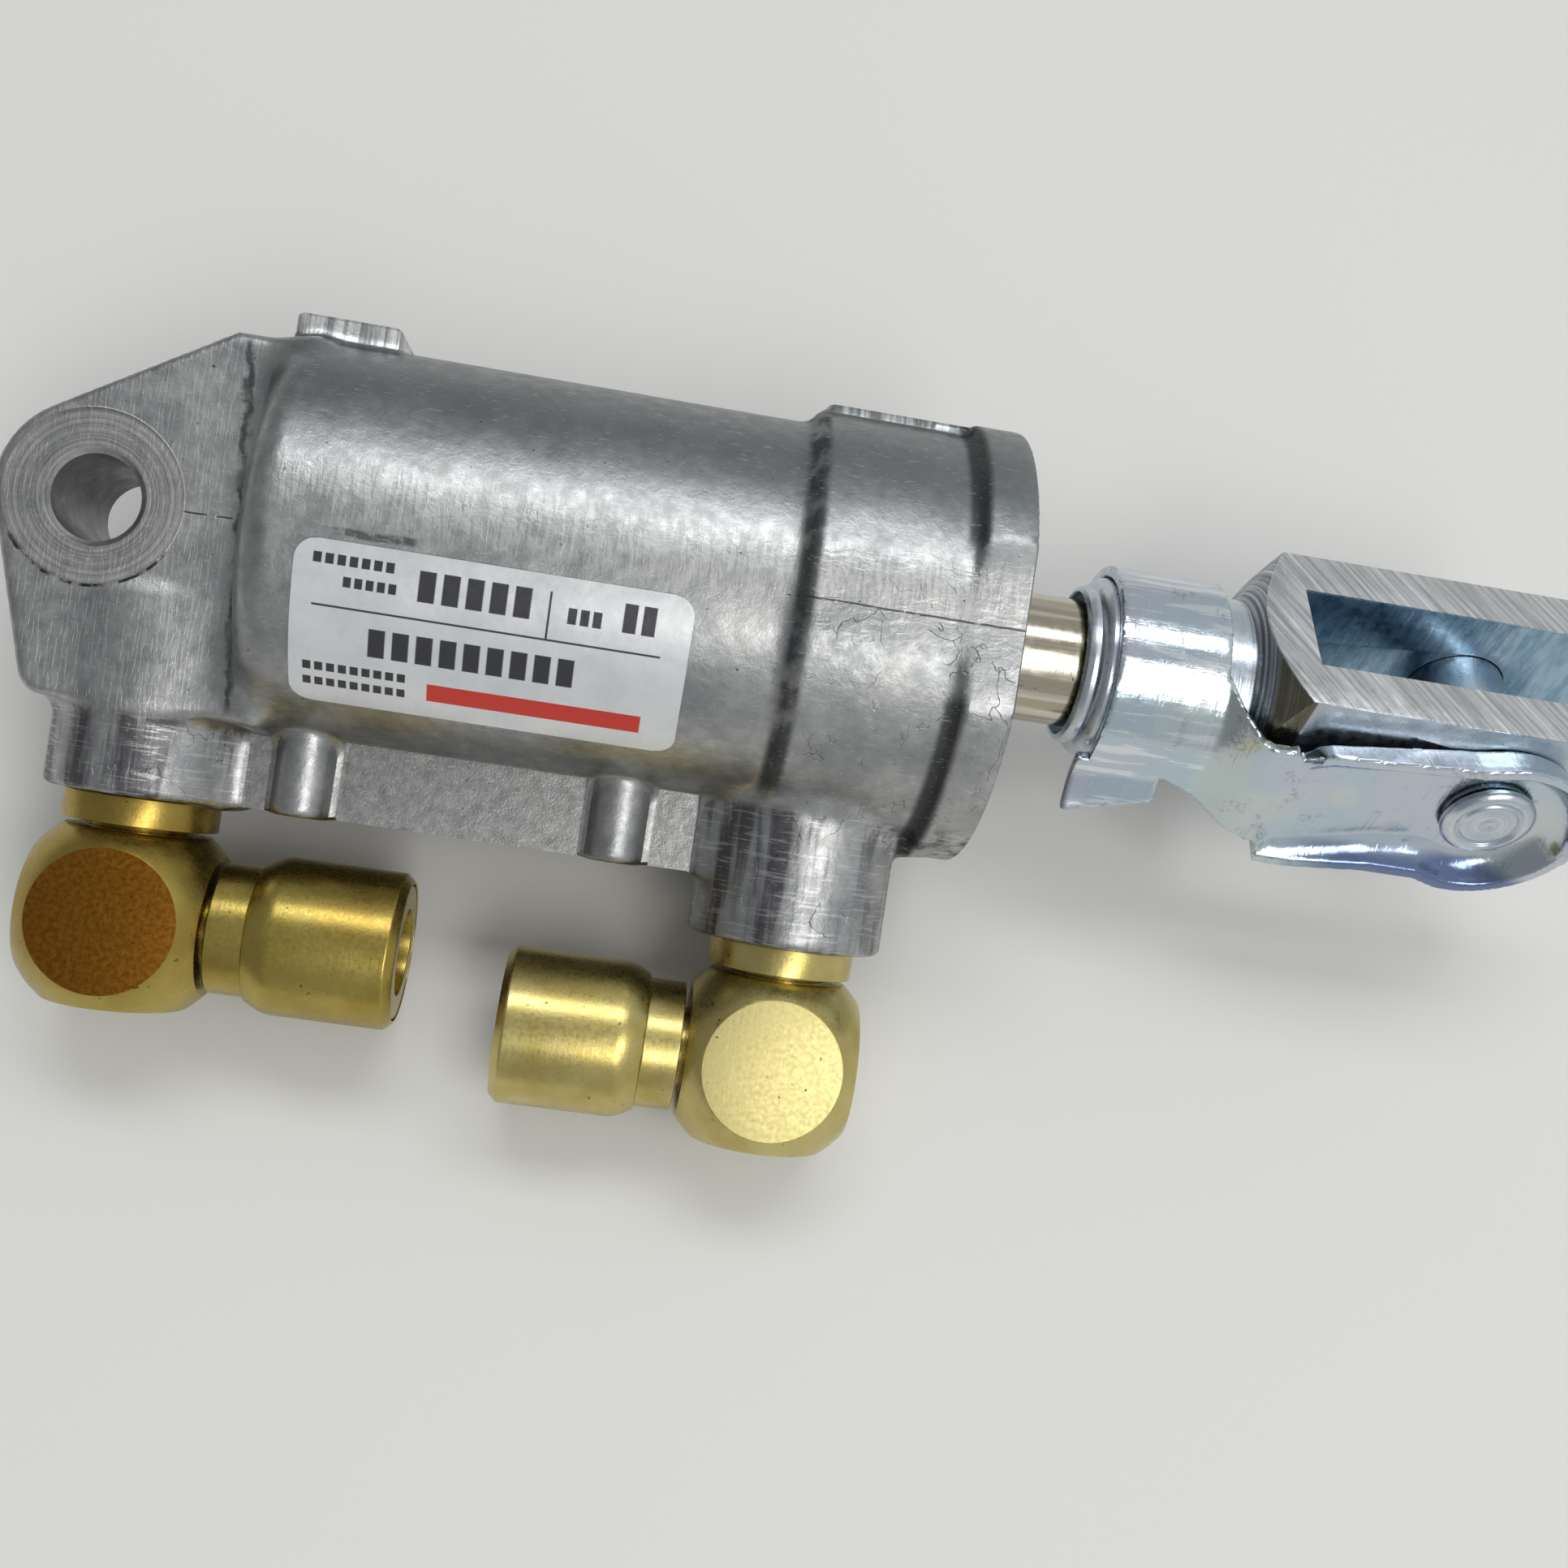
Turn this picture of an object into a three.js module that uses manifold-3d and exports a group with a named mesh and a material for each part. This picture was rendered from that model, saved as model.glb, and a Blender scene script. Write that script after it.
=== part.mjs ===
// Pneumatic cylinder, bore 25 mm, stroke 25 mm, with a die-cast body, a rear eye, two brass
// tube elbows and a rod fork with a spring clip pin.
// Millimetres. While it is built, X runs along the rod, the rear eye's axis is Z and the ports
// face -Y; the whole part is moved at the end so that the origin is the bounding box's centre.

import * as THREE from "three";
import { mergeVertices } from "three/addons/utils/BufferGeometryUtils.js";
import Module from "manifold-3d";

// ---------------------------------------------------------------- driving dimensions

const ROUND = 40; // facets of the large turned pieces
const SMALL_ROUND = 24; // facets of bosses, bores and small turned pieces
const TINY_ROUND = 12; // facets of channels and O-ring sections
const FIT = 0.06; // radial running clearance
const SEAT = 0.1; // gap between pieces that touch in the real part

const bore = { r: 12.5, start: 13.5, end: 65.3 };
const barrel = { r: 14.8, rear: 11.4, corner: 2.5, end: 49.0 };
const collar = { r: 15.75, start: 50.6, end: 61.0 };
const flange = { r: 16.7, start: 61.7, end: 65.3, chamfer: 0.35 };
const lug = { halfThickness: 7.1, spotfaceR: 6.2, spotfaceDepth: 0.15 };
const eye = { r: 3.0, chamfer: 0.5 };
const web = { bottom: -20.3, halfThickness: 3.0 };
const ribs = { xs: [16.4, 39.5], r: 2.1, z: 2.8 };
const pads = { top: 15.8, halfWidth: 5.0, spans: [[11.0, 18.8], [50.3, 61.2]] };
const gusset = { start: 58.5, end: 62.5, bottom: -16.2, halfThickness: 2.5 };
const rearPort = { x: 4.6, bossR: 7.1, bossEnd: -20.5, direction: 1 };
const frontPort = { x: 53.4, bossR: 7.45, bossEnd: -24.75, direction: -1 };
const portHole = { r: 4.35, depth: 6.6, channelR: 1.5, rearChannelY: -10.2 };
const label = { start: 15.8, end: 42.6, fromDeg: -5, toDeg: -52, inner: 14.95, outer: 15.1, corner: 1.6 };

const bush = { start: 55.3, end: 63.0, r: 12.4, ringX: 59.6 };
const circlip = { start: 63.2, end: 64.2, grooveStart: 63.1, grooveEnd: 64.3, outer: 13.1, inner: 11.7, grooveR: 13.2 };
const piston = { start: 15.0, end: 29.0, r: 12.3 };
const rod = { r: 5.0, shoulder: 29.05, neckEnd: 73.3, threadR: 3.9, end: 87.5, stubR: 3.0, stubStart: 15.7 };

const fork = {
  turnDeg: 39,
  size: 16,
  slot: 8,
  neckR: 7.0,
  neckStart: 72.2,
  squareStart: 85.1,
  slotStart: 89.3,
  pinX: 105.2,
  end: 115.2,
  threadR: 4.0,
  recessR: 5.6,
};
const sheet = 0.85; // thickness of the spring clip
const clip = {
  wrapStart: 74.3,
  wrapEnd: 82.8,
  wrapInner: 7.15,
  plateInner: 8.15,
  rimHeight: 11.0,
  endR: 7.0,
  lipStart: 73.3,
  lipEnd: 80.4,
};
const pin = { r: 3.98, spigotR: 3.0, headR: 3.5, headHeight: 0.85, tail: 10.4 };

const elbow = {
  half: 6.75,
  halfHeight: 6.5,
  ballR: 8.4,
  collarR: 5.55,
  collarHeight: 2.2,
  neckR: 4.9,
  sleeveR: 5.95,
  neckEnd: 9.6,
  shoulderEnd: 11.7,
  length: 20.5,
  tubeR: 3.3,
};

const metal = (color, roughness) => new THREE.MeshStandardMaterial({ color, roughness, metalness: 1.0 });
const rubber = new THREE.MeshStandardMaterial({ color: 0x1c1c1e, roughness: 0.8, metalness: 0.0 });
const looks = {
  casting: metal(0x9c9fa2, 0.5),
  brass: metal(0xb5963c, 0.35),
  zinc: metal(0xb4bec8, 0.3),
  steel: metal(0xb9b4aa, 0.22),
  aluminium: metal(0xb8babd, 0.4),
  spring: metal(0x6d7076, 0.35),
  rubber,
  bumper: new THREE.MeshStandardMaterial({ color: 0x3a3d42, roughness: 0.75, metalness: 0.0 }),
  band: new THREE.MeshStandardMaterial({ color: 0x2e5a4e, roughness: 0.6, metalness: 0.0 }),
  label: new THREE.MeshStandardMaterial({ color: 0xd8dadd, roughness: 0.4, metalness: 0.2 }),
};

// ---------------------------------------------------------------- solids

const wasm = await Module();
wasm.setup();

const part = new THREE.Group();
part.name = "pneumatic_cylinder";

function solidOf(geometry) {
  const bare = geometry.clone();
  bare.deleteAttribute("normal");
  bare.deleteAttribute("uv");
  const merged = mergeVertices(bare, 1e-4);
  return new wasm.Manifold(
    new wasm.Mesh({
      numProp: 3,
      vertProperties: merged.attributes.position.array,
      triVerts: new Uint32Array(merged.index.array),
    }),
  );
}

function geometryOf(solid) {
  const mesh = solid.getMesh();
  const geometry = new THREE.BufferGeometry();
  geometry.setAttribute("position", new THREE.BufferAttribute(mesh.vertProperties, 3));
  geometry.setIndex(new THREE.BufferAttribute(mesh.triVerts, 1));
  geometry.computeVertexNormals();
  return geometry;
}

function addNode(name, solid, material) {
  const mesh = new THREE.Mesh(geometryOf(solid), material.clone());
  mesh.name = name;
  part.add(mesh);
}

const join = (solids) => solids.reduce((all, next) => all.add(next));
const cut = (solid, tools) => tools.reduce((all, tool) => all.subtract(tool), solid);

// A solid turned about X from [x, radius] points. An open profile starts and ends on the axis.
function turnedX(points, segments = SMALL_ROUND) {
  const profile = points.map(([x, r]) => new THREE.Vector2(r, x));
  const geometry = new THREE.LatheGeometry(profile, segments);
  geometry.rotateZ(-Math.PI / 2);
  return solidOf(geometry);
}

// A solid turned about the Y-parallel line through x, from [y, radius] points.
function turnedY(x, points, segments = SMALL_ROUND) {
  const profile = points.map(([y, r]) => new THREE.Vector2(r, y));
  const geometry = new THREE.LatheGeometry(profile, segments);
  geometry.translate(x, 0, 0);
  return solidOf(geometry);
}

const rodX = (start, end, r, segments) => turnedX([[start, 0], [start, r], [end, r], [end, 0]], segments);
const rodY = (x, start, end, r, segments) =>
  turnedY(x, [[start, 0], [start, r], [end, r], [end, 0]], segments);
const ringX = (start, end, inner, outer, segments) =>
  turnedX([[start, inner], [start, outer], [end, outer], [end, inner], [start, inner]], segments);

function box(xs, ys, zs) {
  const geometry = new THREE.BoxGeometry(xs[1] - xs[0], ys[1] - ys[0], zs[1] - zs[0]);
  geometry.translate((xs[0] + xs[1]) / 2, (ys[0] + ys[1]) / 2, (zs[0] + zs[1]) / 2);
  return solidOf(geometry);
}

// A flat outline in the XY plane, extruded from z = low to z = high.
function plateZ(shape, low, high, curveSegments = 12) {
  const geometry = new THREE.ExtrudeGeometry(shape, {
    depth: high - low,
    bevelEnabled: false,
    curveSegments,
  });
  geometry.translate(0, 0, low);
  return solidOf(geometry);
}

function torusX(x, centreR, tubeR) {
  const geometry = new THREE.TorusGeometry(centreR, tubeR, 6, SMALL_ROUND);
  geometry.rotateY(Math.PI / 2);
  geometry.translate(x, 0, 0);
  return solidOf(geometry);
}

// Points of a circular arc, in degrees, as [a, b] pairs about a centre.
function arc(centreA, centreB, r, fromDeg, toDeg, steps) {
  return Array.from({ length: steps + 1 }, (_, i) => {
    const angle = THREE.MathUtils.degToRad(fromDeg + ((toDeg - fromDeg) * i) / steps);
    return [centreA + r * Math.cos(angle), centreB + r * Math.sin(angle)];
  });
}

function outline(points) {
  return new THREE.Shape(points.map(([a, b]) => new THREE.Vector2(a, b)));
}

// ---------------------------------------------------------------- body casting

function barrelSolid() {
  const cornerR = barrel.corner;
  return turnedX(
    [
      [barrel.rear, 0],
      ...arc(barrel.rear + cornerR, barrel.r - cornerR, cornerR, 180, 90, 5),
      [barrel.end, barrel.r],
      [(barrel.end + collar.start) / 2, barrel.r + 0.3],
      [collar.start, collar.r],
      [collar.end, collar.r],
      [flange.start, flange.r],
      [flange.end - flange.chamfer, flange.r],
      [flange.end, flange.r - flange.chamfer],
      [flange.end, 0],
    ],
    ROUND,
  );
}

// The flange's two flats are level with the collar, above and below.
function flangeFlats() {
  const deep = flange.r + 2;
  return [-1, 1].map((side) => {
    const span = [side * collar.r, side * deep].sort((a, b) => a - b);
    return box([collar.end - 0.2, flange.end + 1], [-deep, deep], span);
  });
}

function lugSolid() {
  const shape = outline([
    [14.0, -14.3],
    [14.0, 13.9],
    [8.6, 13.9],
    ...arc(0, 0, 7.0, 119, 180, 8),
    [-6.6, -1.8],
    ...arc(-1.6, -12.4, 1.9, 198, 270, 4),
  ]);
  return plateZ(shape, -lug.halfThickness, lug.halfThickness);
}

function lugCuts() {
  const drill = (r, low, high) => {
    const geometry = new THREE.CylinderGeometry(r[1], r[0], high - low, SMALL_ROUND);
    geometry.rotateX(Math.PI / 2);
    geometry.translate(0, 0, (low + high) / 2);
    return solidOf(geometry);
  };
  const face = lug.halfThickness - lug.spotfaceDepth;
  const rim = eye.r + eye.chamfer;
  return [
    drill([eye.r, eye.r], -lug.halfThickness - 1, lug.halfThickness + 1),
    drill([lug.spotfaceR, lug.spotfaceR], face, lug.halfThickness + 1),
    drill([lug.spotfaceR, lug.spotfaceR], -lug.halfThickness - 1, -face),
    drill([eye.r, rim], face - eye.chamfer, face),
    drill([rim, eye.r], -face, -face + eye.chamfer),
  ];
}

function bossSolid(port) {
  const edge = 0.4;
  return turnedY(port.x, [
    [port.bossEnd, 0],
    [port.bossEnd, port.bossR - edge],
    [port.bossEnd + edge, port.bossR],
    [-8, port.bossR],
    [-8, 0],
  ]);
}

function webSolids() {
  const plate = box(
    [rearPort.x, frontPort.x],
    [web.bottom, -13],
    [-web.halfThickness, web.halfThickness],
  );
  const columns = ribs.xs.flatMap((x) =>
    [-ribs.z, ribs.z].map((z) => {
      const column = rodY(x, web.bottom, -13.2, ribs.r, TINY_ROUND);
      return column.translate([0, 0, z]);
    }),
  );
  return [plate, ...columns];
}

function padSolids() {
  return pads.spans.map(([start, end]) =>
    box([start, end], [12.9, pads.top], [-pads.halfWidth, pads.halfWidth]),
  );
}

function portCuts(port, innerEnd) {
  return [
    rodY(port.x, port.bossEnd - 1, port.bossEnd + portHole.depth, portHole.r),
    rodY(port.x, port.bossEnd, innerEnd, portHole.channelR, TINY_ROUND),
  ];
}

function buildCasting() {
  const gussetSolid = box(
    [gusset.start, gusset.end],
    [gusset.bottom, -12.9],
    [-gusset.halfThickness, gusset.halfThickness],
  );
  const outside = cut(
    join([
      barrelSolid(),
      lugSolid(),
      bossSolid(rearPort),
      bossSolid(frontPort),
      ...webSolids(),
      ...padSolids(),
      gussetSolid,
    ]),
    flangeFlats(),
  );
  const rearChannel = rodX(rearPort.x, bore.start + 1, portHole.channelR, TINY_ROUND);
  const inside = [
    rodX(bore.start, bore.end + 1, bore.r, ROUND),
    rodX(circlip.grooveStart, circlip.grooveEnd, circlip.grooveR, ROUND),
    rearChannel.translate([0, portHole.rearChannelY, 0]),
    ...portCuts(rearPort, portHole.rearChannelY),
    ...portCuts(frontPort, -12),
    ...lugCuts(),
  ];
  addNode("body_casting", cut(outside, inside), looks.casting);
}

// ---------------------------------------------------------------- label

// A thin curved sheet with rounded corners, on the side of the barrel that faces up.
function buildLabel() {
  const steps = 14;
  const sweep = label.fromDeg - label.toDeg;
  const angleAt = (t) => THREE.MathUtils.degToRad(label.fromDeg - sweep * t);
  const height = THREE.MathUtils.degToRad(sweep) * label.outer;
  const insetAt = (t) => {
    const edge = Math.min(t, 1 - t) * height;
    const depth = Math.max(0, label.corner - edge);
    return label.corner - Math.sqrt(label.corner ** 2 - depth ** 2);
  };
  const stations = [0, 0.02, 0.06, 0.1, ...Array.from({ length: steps - 1 }, (_, i) => 0.1 + (0.8 * (i + 1)) / steps)];
  stations.push(0.9, 0.94, 0.98, 1);
  const positions = [];
  const faces = [];
  stations.forEach((t) => {
    const angle = angleAt(t);
    const inset = insetAt(t);
    for (const r of [label.inner, label.outer])
      for (const x of [label.start + inset, label.end - inset])
        positions.push(x, r * Math.sin(angle), r * Math.cos(angle));
  });
  const quad = (a, b, c, d) => faces.push(a, b, c, a, c, d);
  const last = (stations.length - 1) * 4;
  quad(0, 2, 3, 1);
  quad(last, last + 1, last + 3, last + 2);
  for (let row = 0; row < last; row += 4) {
    const next = row + 4;
    quad(row + 2, next + 2, next + 3, row + 3);
    quad(row, row + 1, next + 1, next);
    quad(row, next, next + 2, row + 2);
    quad(row + 1, row + 3, next + 3, next + 1);
  }
  const geometry = new THREE.BufferGeometry();
  geometry.setAttribute("position", new THREE.Float32BufferAttribute(positions, 3));
  geometry.setIndex(faces);
  addNode("label", solidOf(geometry), looks.label);
}

// ---------------------------------------------------------------- front guide

function buildGuide() {
  const sealStart = 57.0;
  const sealEnd = 59.8;
  const wiperStart = 61.0;
  const guideBore = rod.r + FIT;
  const body = turnedX(
    [
      [bush.start, guideBore],
      [bush.start, bush.r - 0.4],
      [bush.start + 0.4, bush.r],
      [bush.ringX - 1.1, bush.r],
      [bush.ringX - 1.1, 10.85],
      [bush.ringX + 1.1, 10.85],
      [bush.ringX + 1.1, bush.r],
      [bush.end, bush.r],
      [bush.end, 7.2],
      [wiperStart, 7.2],
      [wiperStart, guideBore],
      [sealEnd, guideBore],
      [sealEnd, 8.2],
      [sealStart, 8.2],
      [sealStart, guideBore],
      [bush.start, guideBore],
    ],
    ROUND,
  );
  addNode("guide_bush", body, looks.aluminium);
  addNode("guide_bush_seal", torusX(bush.ringX, 11.62, 0.7), looks.rubber);
  const lip = guideBore + 0.02;
  const rodSeal = turnedX([
    [sealStart + SEAT, lip],
    [sealStart + SEAT, 8.1],
    [sealEnd - SEAT, 8.1],
    [sealEnd - SEAT, 7.3],
    [sealStart + 1.3, 6.9],
    [sealStart + 1.3, 6.3],
    [sealEnd - SEAT, 5.9],
    [sealEnd - SEAT, lip],
    [sealStart + SEAT, lip],
  ]);
  addNode("rod_seal", rodSeal, looks.rubber);
  const wiper = turnedX([
    [wiperStart + SEAT, lip],
    [wiperStart + SEAT, 7.1],
    [bush.end - SEAT, 7.1],
    [bush.end + 0.9, 5.6],
    [bush.end + 0.9, lip],
    [wiperStart + SEAT, lip],
  ]);
  addNode("rod_wiper", wiper, looks.rubber);
  addNode("front_bumper", ringX(bush.start - 0.9, bush.start - SEAT, 6.0, 9.5), looks.bumper);
  addNode("rear_bumper", ringX(bore.start + SEAT, bore.start + 1.3, 4.0, 8.0), looks.bumper);
}

// An internal retaining ring: a band with a gap at the bottom and two ears with pliers holes.
function buildCirclip() {
  const gapDeg = 26;
  const outer = arc(0, 0, circlip.outer, -90 + gapDeg / 2, 270 - gapDeg / 2, 44);
  const inner = arc(0, 0, circlip.inner, 270 - gapDeg / 2, -90 + gapDeg / 2, 44);
  const band = plateZ(outline([...outer, ...inner]), circlip.start, circlip.end);
  const ears = [-1, 1].map((side) => {
    const centre = THREE.MathUtils.degToRad(-90 + side * (gapDeg / 2 + 3));
    const [cx, cy] = [11.2 * Math.cos(centre), 11.2 * Math.sin(centre)];
    const ear = new THREE.Shape().absarc(cx, cy, 1.35, 0, Math.PI * 2, false);
    const hole = new THREE.Shape().absarc(cx, cy, 0.6, 0, Math.PI * 2, false);
    const over = circlip.end + 1;
    return {
      solid: plateZ(ear, circlip.start, circlip.end, 10),
      hole: plateZ(hole, circlip.start - 1, over, 8),
    };
  });
  const flat = cut(join([band, ...ears.map((e) => e.solid)]), ears.map((e) => e.hole));
  addNode("circlip", flat.rotate([0, 90, 0]).rotate([90, 0, 0]), looks.spring);
}

// ---------------------------------------------------------------- piston and rod

function buildPiston() {
  const groove = 10.1;
  const grooves = [
    [17.4, 20.0],
    [21.2, 23.4],
    [24.6, 27.2],
  ];
  const nutPocket = { r: 6.4, end: 20.0 };
  const hole = rod.stubR + 0.12;
  const grooveProfile = grooves.flatMap(([start, end]) => [
    [start, piston.r],
    [start, groove],
    [end, groove],
    [end, piston.r],
  ]);
  const body = turnedX(
    [
      [piston.start, nutPocket.r],
      [piston.start, 11.3],
      [piston.start + 1, piston.r],
      ...grooveProfile,
      [piston.end - 1, piston.r],
      [piston.end, 11.3],
      [piston.end, hole],
      [nutPocket.end, hole],
      [nutPocket.end, nutPocket.r],
      [piston.start, nutPocket.r],
    ],
    ROUND,
  );
  addNode("piston", body, looks.aluminium);
  const sealBack = groove + 0.2;
  const sealOuter = bore.r - FIT;
  const lipSeal = ([start, end], towards) => {
    const [back, lips] = towards > 0 ? [start + SEAT, end - SEAT] : [end - SEAT, start + SEAT];
    const root = back + towards * 0.9;
    const profile = [
      [back, sealBack],
      [back, sealOuter - 0.35],
      [lips, sealOuter],
      [lips, sealOuter - 0.6],
      [root, 11.5],
      [root, 11.1],
      [lips, sealBack + 0.5],
      [lips, sealBack],
      [back, sealBack],
    ];
    return turnedX(towards > 0 ? profile : profile.reverse(), ROUND);
  };
  addNode("piston_seal_rear", lipSeal(grooves[0], -1), looks.rubber);
  addNode("piston_seal_front", lipSeal(grooves[2], 1), looks.rubber);
  addNode(
    "piston_guide_band",
    ringX(grooves[1][0] + SEAT, grooves[1][1] - SEAT, sealBack, sealOuter, ROUND),
    looks.band,
  );
}

function buildRod() {
  const stubTip = 0.5;
  const body = turnedX([
    [rod.stubStart, 0],
    [rod.stubStart, rod.stubR - stubTip],
    [rod.stubStart + stubTip, rod.stubR],
    [rod.shoulder, rod.stubR],
    [rod.shoulder, rod.r],
    [rod.neckEnd - 0.5, rod.r],
    [rod.neckEnd, rod.r - 0.5],
    [rod.neckEnd, rod.threadR - 0.5],
    [rod.neckEnd + 1.2, rod.threadR - 0.5],
    [rod.neckEnd + 1.7, rod.threadR],
    [rod.end - 0.7, rod.threadR],
    [rod.end, rod.threadR - 0.7],
    [rod.end, 0],
  ]);
  addNode("piston_rod", body, looks.steel);
  const acrossFlats = 10;
  const cornerR = acrossFlats / 2 / Math.cos(Math.PI / 6);
  const start = 16.0;
  const end = 19.9;
  const hexagon = rodX(start, end, cornerR, 6);
  const rounded = turnedX([
    [start, 0],
    [start, acrossFlats / 2],
    [start + 0.45, cornerR],
    [end - 0.45, cornerR],
    [end, acrossFlats / 2],
    [end, 0],
  ]);
  const hole = rodX(start - 1, end + 1, rod.stubR + 0.08, SMALL_ROUND);
  addNode("piston_nut", hexagon.intersect(rounded).subtract(hole), looks.zinc);
}

// ---------------------------------------------------------------- fork and spring clip

// The fork and its clip are drawn with the slot open along Z and the pin's head at -Y, and are
// then turned about the rod's axis.
const turned = (solid) => solid.rotate([-fork.turnDeg, 0, 0]);

function drillY(x, start, end, r, segments = SMALL_ROUND) {
  return rodY(x, start, end, r, segments);
}

function buildFork() {
  const half = fork.size / 2;
  const blank = turnedX(
    [
      [fork.neckStart, 0],
      [fork.neckStart, fork.neckR - 1.2],
      [fork.neckStart + 0.5, fork.neckR - 0.75],
      [fork.neckStart + 1.0, fork.neckR - 0.75],
      [fork.neckStart + 1.1, fork.neckR - 0.35],
      [fork.neckStart + 1.5, fork.neckR],
      [fork.squareStart, fork.neckR],
      [fork.squareStart + 3.2, half * 1.45],
      [fork.end - 2.4, half * 1.45],
      [fork.end, half * 1.22],
      [fork.end, 0],
    ],
    ROUND,
  );
  const square = box([fork.neckStart - 1, fork.end + 1], [-half, half], [-half, half]);
  const slot = box(
    [fork.slotStart, fork.end + 1],
    [-fork.slot / 2, fork.slot / 2],
    [-half - 1, half + 1],
  );
  const solid = cut(blank.intersect(square), [
    slot,
    rodX(fork.neckStart - 1, fork.slotStart + 1, fork.threadR, SMALL_ROUND),
    turnedX([
      [fork.neckStart - 0.5, 0],
      [fork.neckStart - 0.5, fork.recessR + 0.4],
      [fork.neckStart + 0.3, fork.recessR],
      [fork.neckStart + 1.3, fork.recessR],
      [fork.neckStart + 2.4, fork.threadR - 0.2],
      [fork.neckStart + 2.4, 0],
    ]),
    drillY(fork.pinX, -half - 1, half + 1, pin.r + 0.1),
  ]);
  addNode("fork_head", turned(solid), looks.zinc);
}

// The clip's band round the neck: a C that is open towards -Z, with straight ends.
function clipWrap() {
  const outer = clip.wrapInner + sheet;
  const endZ = -2.6;
  const band = outline([
    [-outer, endZ],
    ...arc(0, 0, outer, 180, 0, 26),
    [outer, endZ],
    [outer + 0.5, endZ - 1.4],
    [outer + 0.5 - sheet, endZ - 1.4],
    [clip.wrapInner, endZ],
    ...arc(0, 0, clip.wrapInner, 0, 180, 26),
    [-clip.wrapInner, endZ],
  ]);
  const lip = outline([
    [-outer, endZ + 0.4],
    [-outer - 1.1, endZ - 4.2],
    [-outer - 1.1 + sheet, endZ - 4.2],
    [-clip.wrapInner, endZ + 0.2],
  ]);
  const alongX = (shape, start, end) => {
    const flat = plateZ(shape, start, end, 26);
    return flat.rotate([90, 0, 0]).rotate([0, 0, 90]);
  };
  return [alongX(band, clip.wrapStart, clip.wrapEnd), alongX(lip, clip.lipStart, clip.lipEnd)];
}

// A flat outline given as [x, z] points, standing from y = low to y = high.
function plateY(points, low, high) {
  const flat = plateZ(outline(points), -high, -low);
  return flat.rotate([90, 0, 0]);
}

function trayOutline(grow) {
  const r = clip.endR + grow;
  return [
    [90.2, -7.3 - grow],
    [97.8, -6.2 - grow],
    [102.0, -6.2 - grow],
    ...arc(fork.pinX, 0, r, -100, 100, 24),
    [101.5, 6.3 + grow],
    [90.9, 5.4 + grow],
  ];
}

function buildClip() {
  const outer = clip.plateInner + sheet;
  const plate = plateY(
    [
      [83.6, -4.4],
      ...trayOutline(0),
      [89.6, 4.2],
      [88.2, 3.2],
      [85.2, 4.2],
      [83.6, 4.9],
    ],
    -outer,
    -clip.plateInner,
  );
  const jogSection = [
    [clip.wrapEnd - 1.4, -clip.wrapInner],
    [clip.wrapEnd + 0.1, -clip.wrapInner],
    [clip.wrapEnd + 1.1, -clip.plateInner],
    [clip.wrapEnd + 1.1, -outer],
    [clip.wrapEnd - 0.1, -outer + 0.25],
    [clip.wrapEnd - 1.4, -clip.wrapInner - sheet],
  ];
  const jog = plateZ(outline(jogSection), -4.1, 2.6);
  const web = plateY([[80.4, -2.9], [82.9, -4.1], [82.9, 0], [80.4, 0]], -clip.wrapInner - sheet, -clip.wrapInner);
  const rimOuter = plateY(trayOutline(0), -clip.rimHeight, -clip.plateInner - 0.3);
  const rimInner = plateY(
    [[88.0, -6.6], ...trayOutline(-sheet), [88.0, 4.4]],
    -clip.rimHeight - 1,
    -outer,
  );
  const raised = drillY(fork.pinX, -outer - 0.35, -clip.plateInner - 0.3, 4.3);
  const solid = cut(join([...clipWrap(), jog, web, plate, rimOuter.subtract(rimInner), raised]), [
    drillY(fork.pinX, -outer - 2, 0, pin.spigotR + 0.1),
  ]);
  addNode("clip_spring", turned(solid), looks.zinc);

  const face = -outer - 0.35 - SEAT;
  const top = face - pin.headHeight;
  const body = turnedY(fork.pinX, [
    [top + 0.3, 0],
    [top + 0.1, 0.5],
    [top + 0.1, 2.0],
    [top + 0.35, 2.3],
    [top, 2.7],
    [top + 0.1, pin.headR - 0.3],
    [top + 0.4, pin.headR],
    [face, pin.headR],
    [face, pin.spigotR],
    [-clip.plateInner + SEAT, pin.spigotR],
    [-clip.plateInner + SEAT, pin.r],
    [pin.tail - 0.9, pin.r],
    [pin.tail, pin.r - 0.9],
    [pin.tail, 0],
  ]);
  addNode("clip_pin", turned(body), looks.zinc);
}

// ---------------------------------------------------------------- elbows

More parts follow.
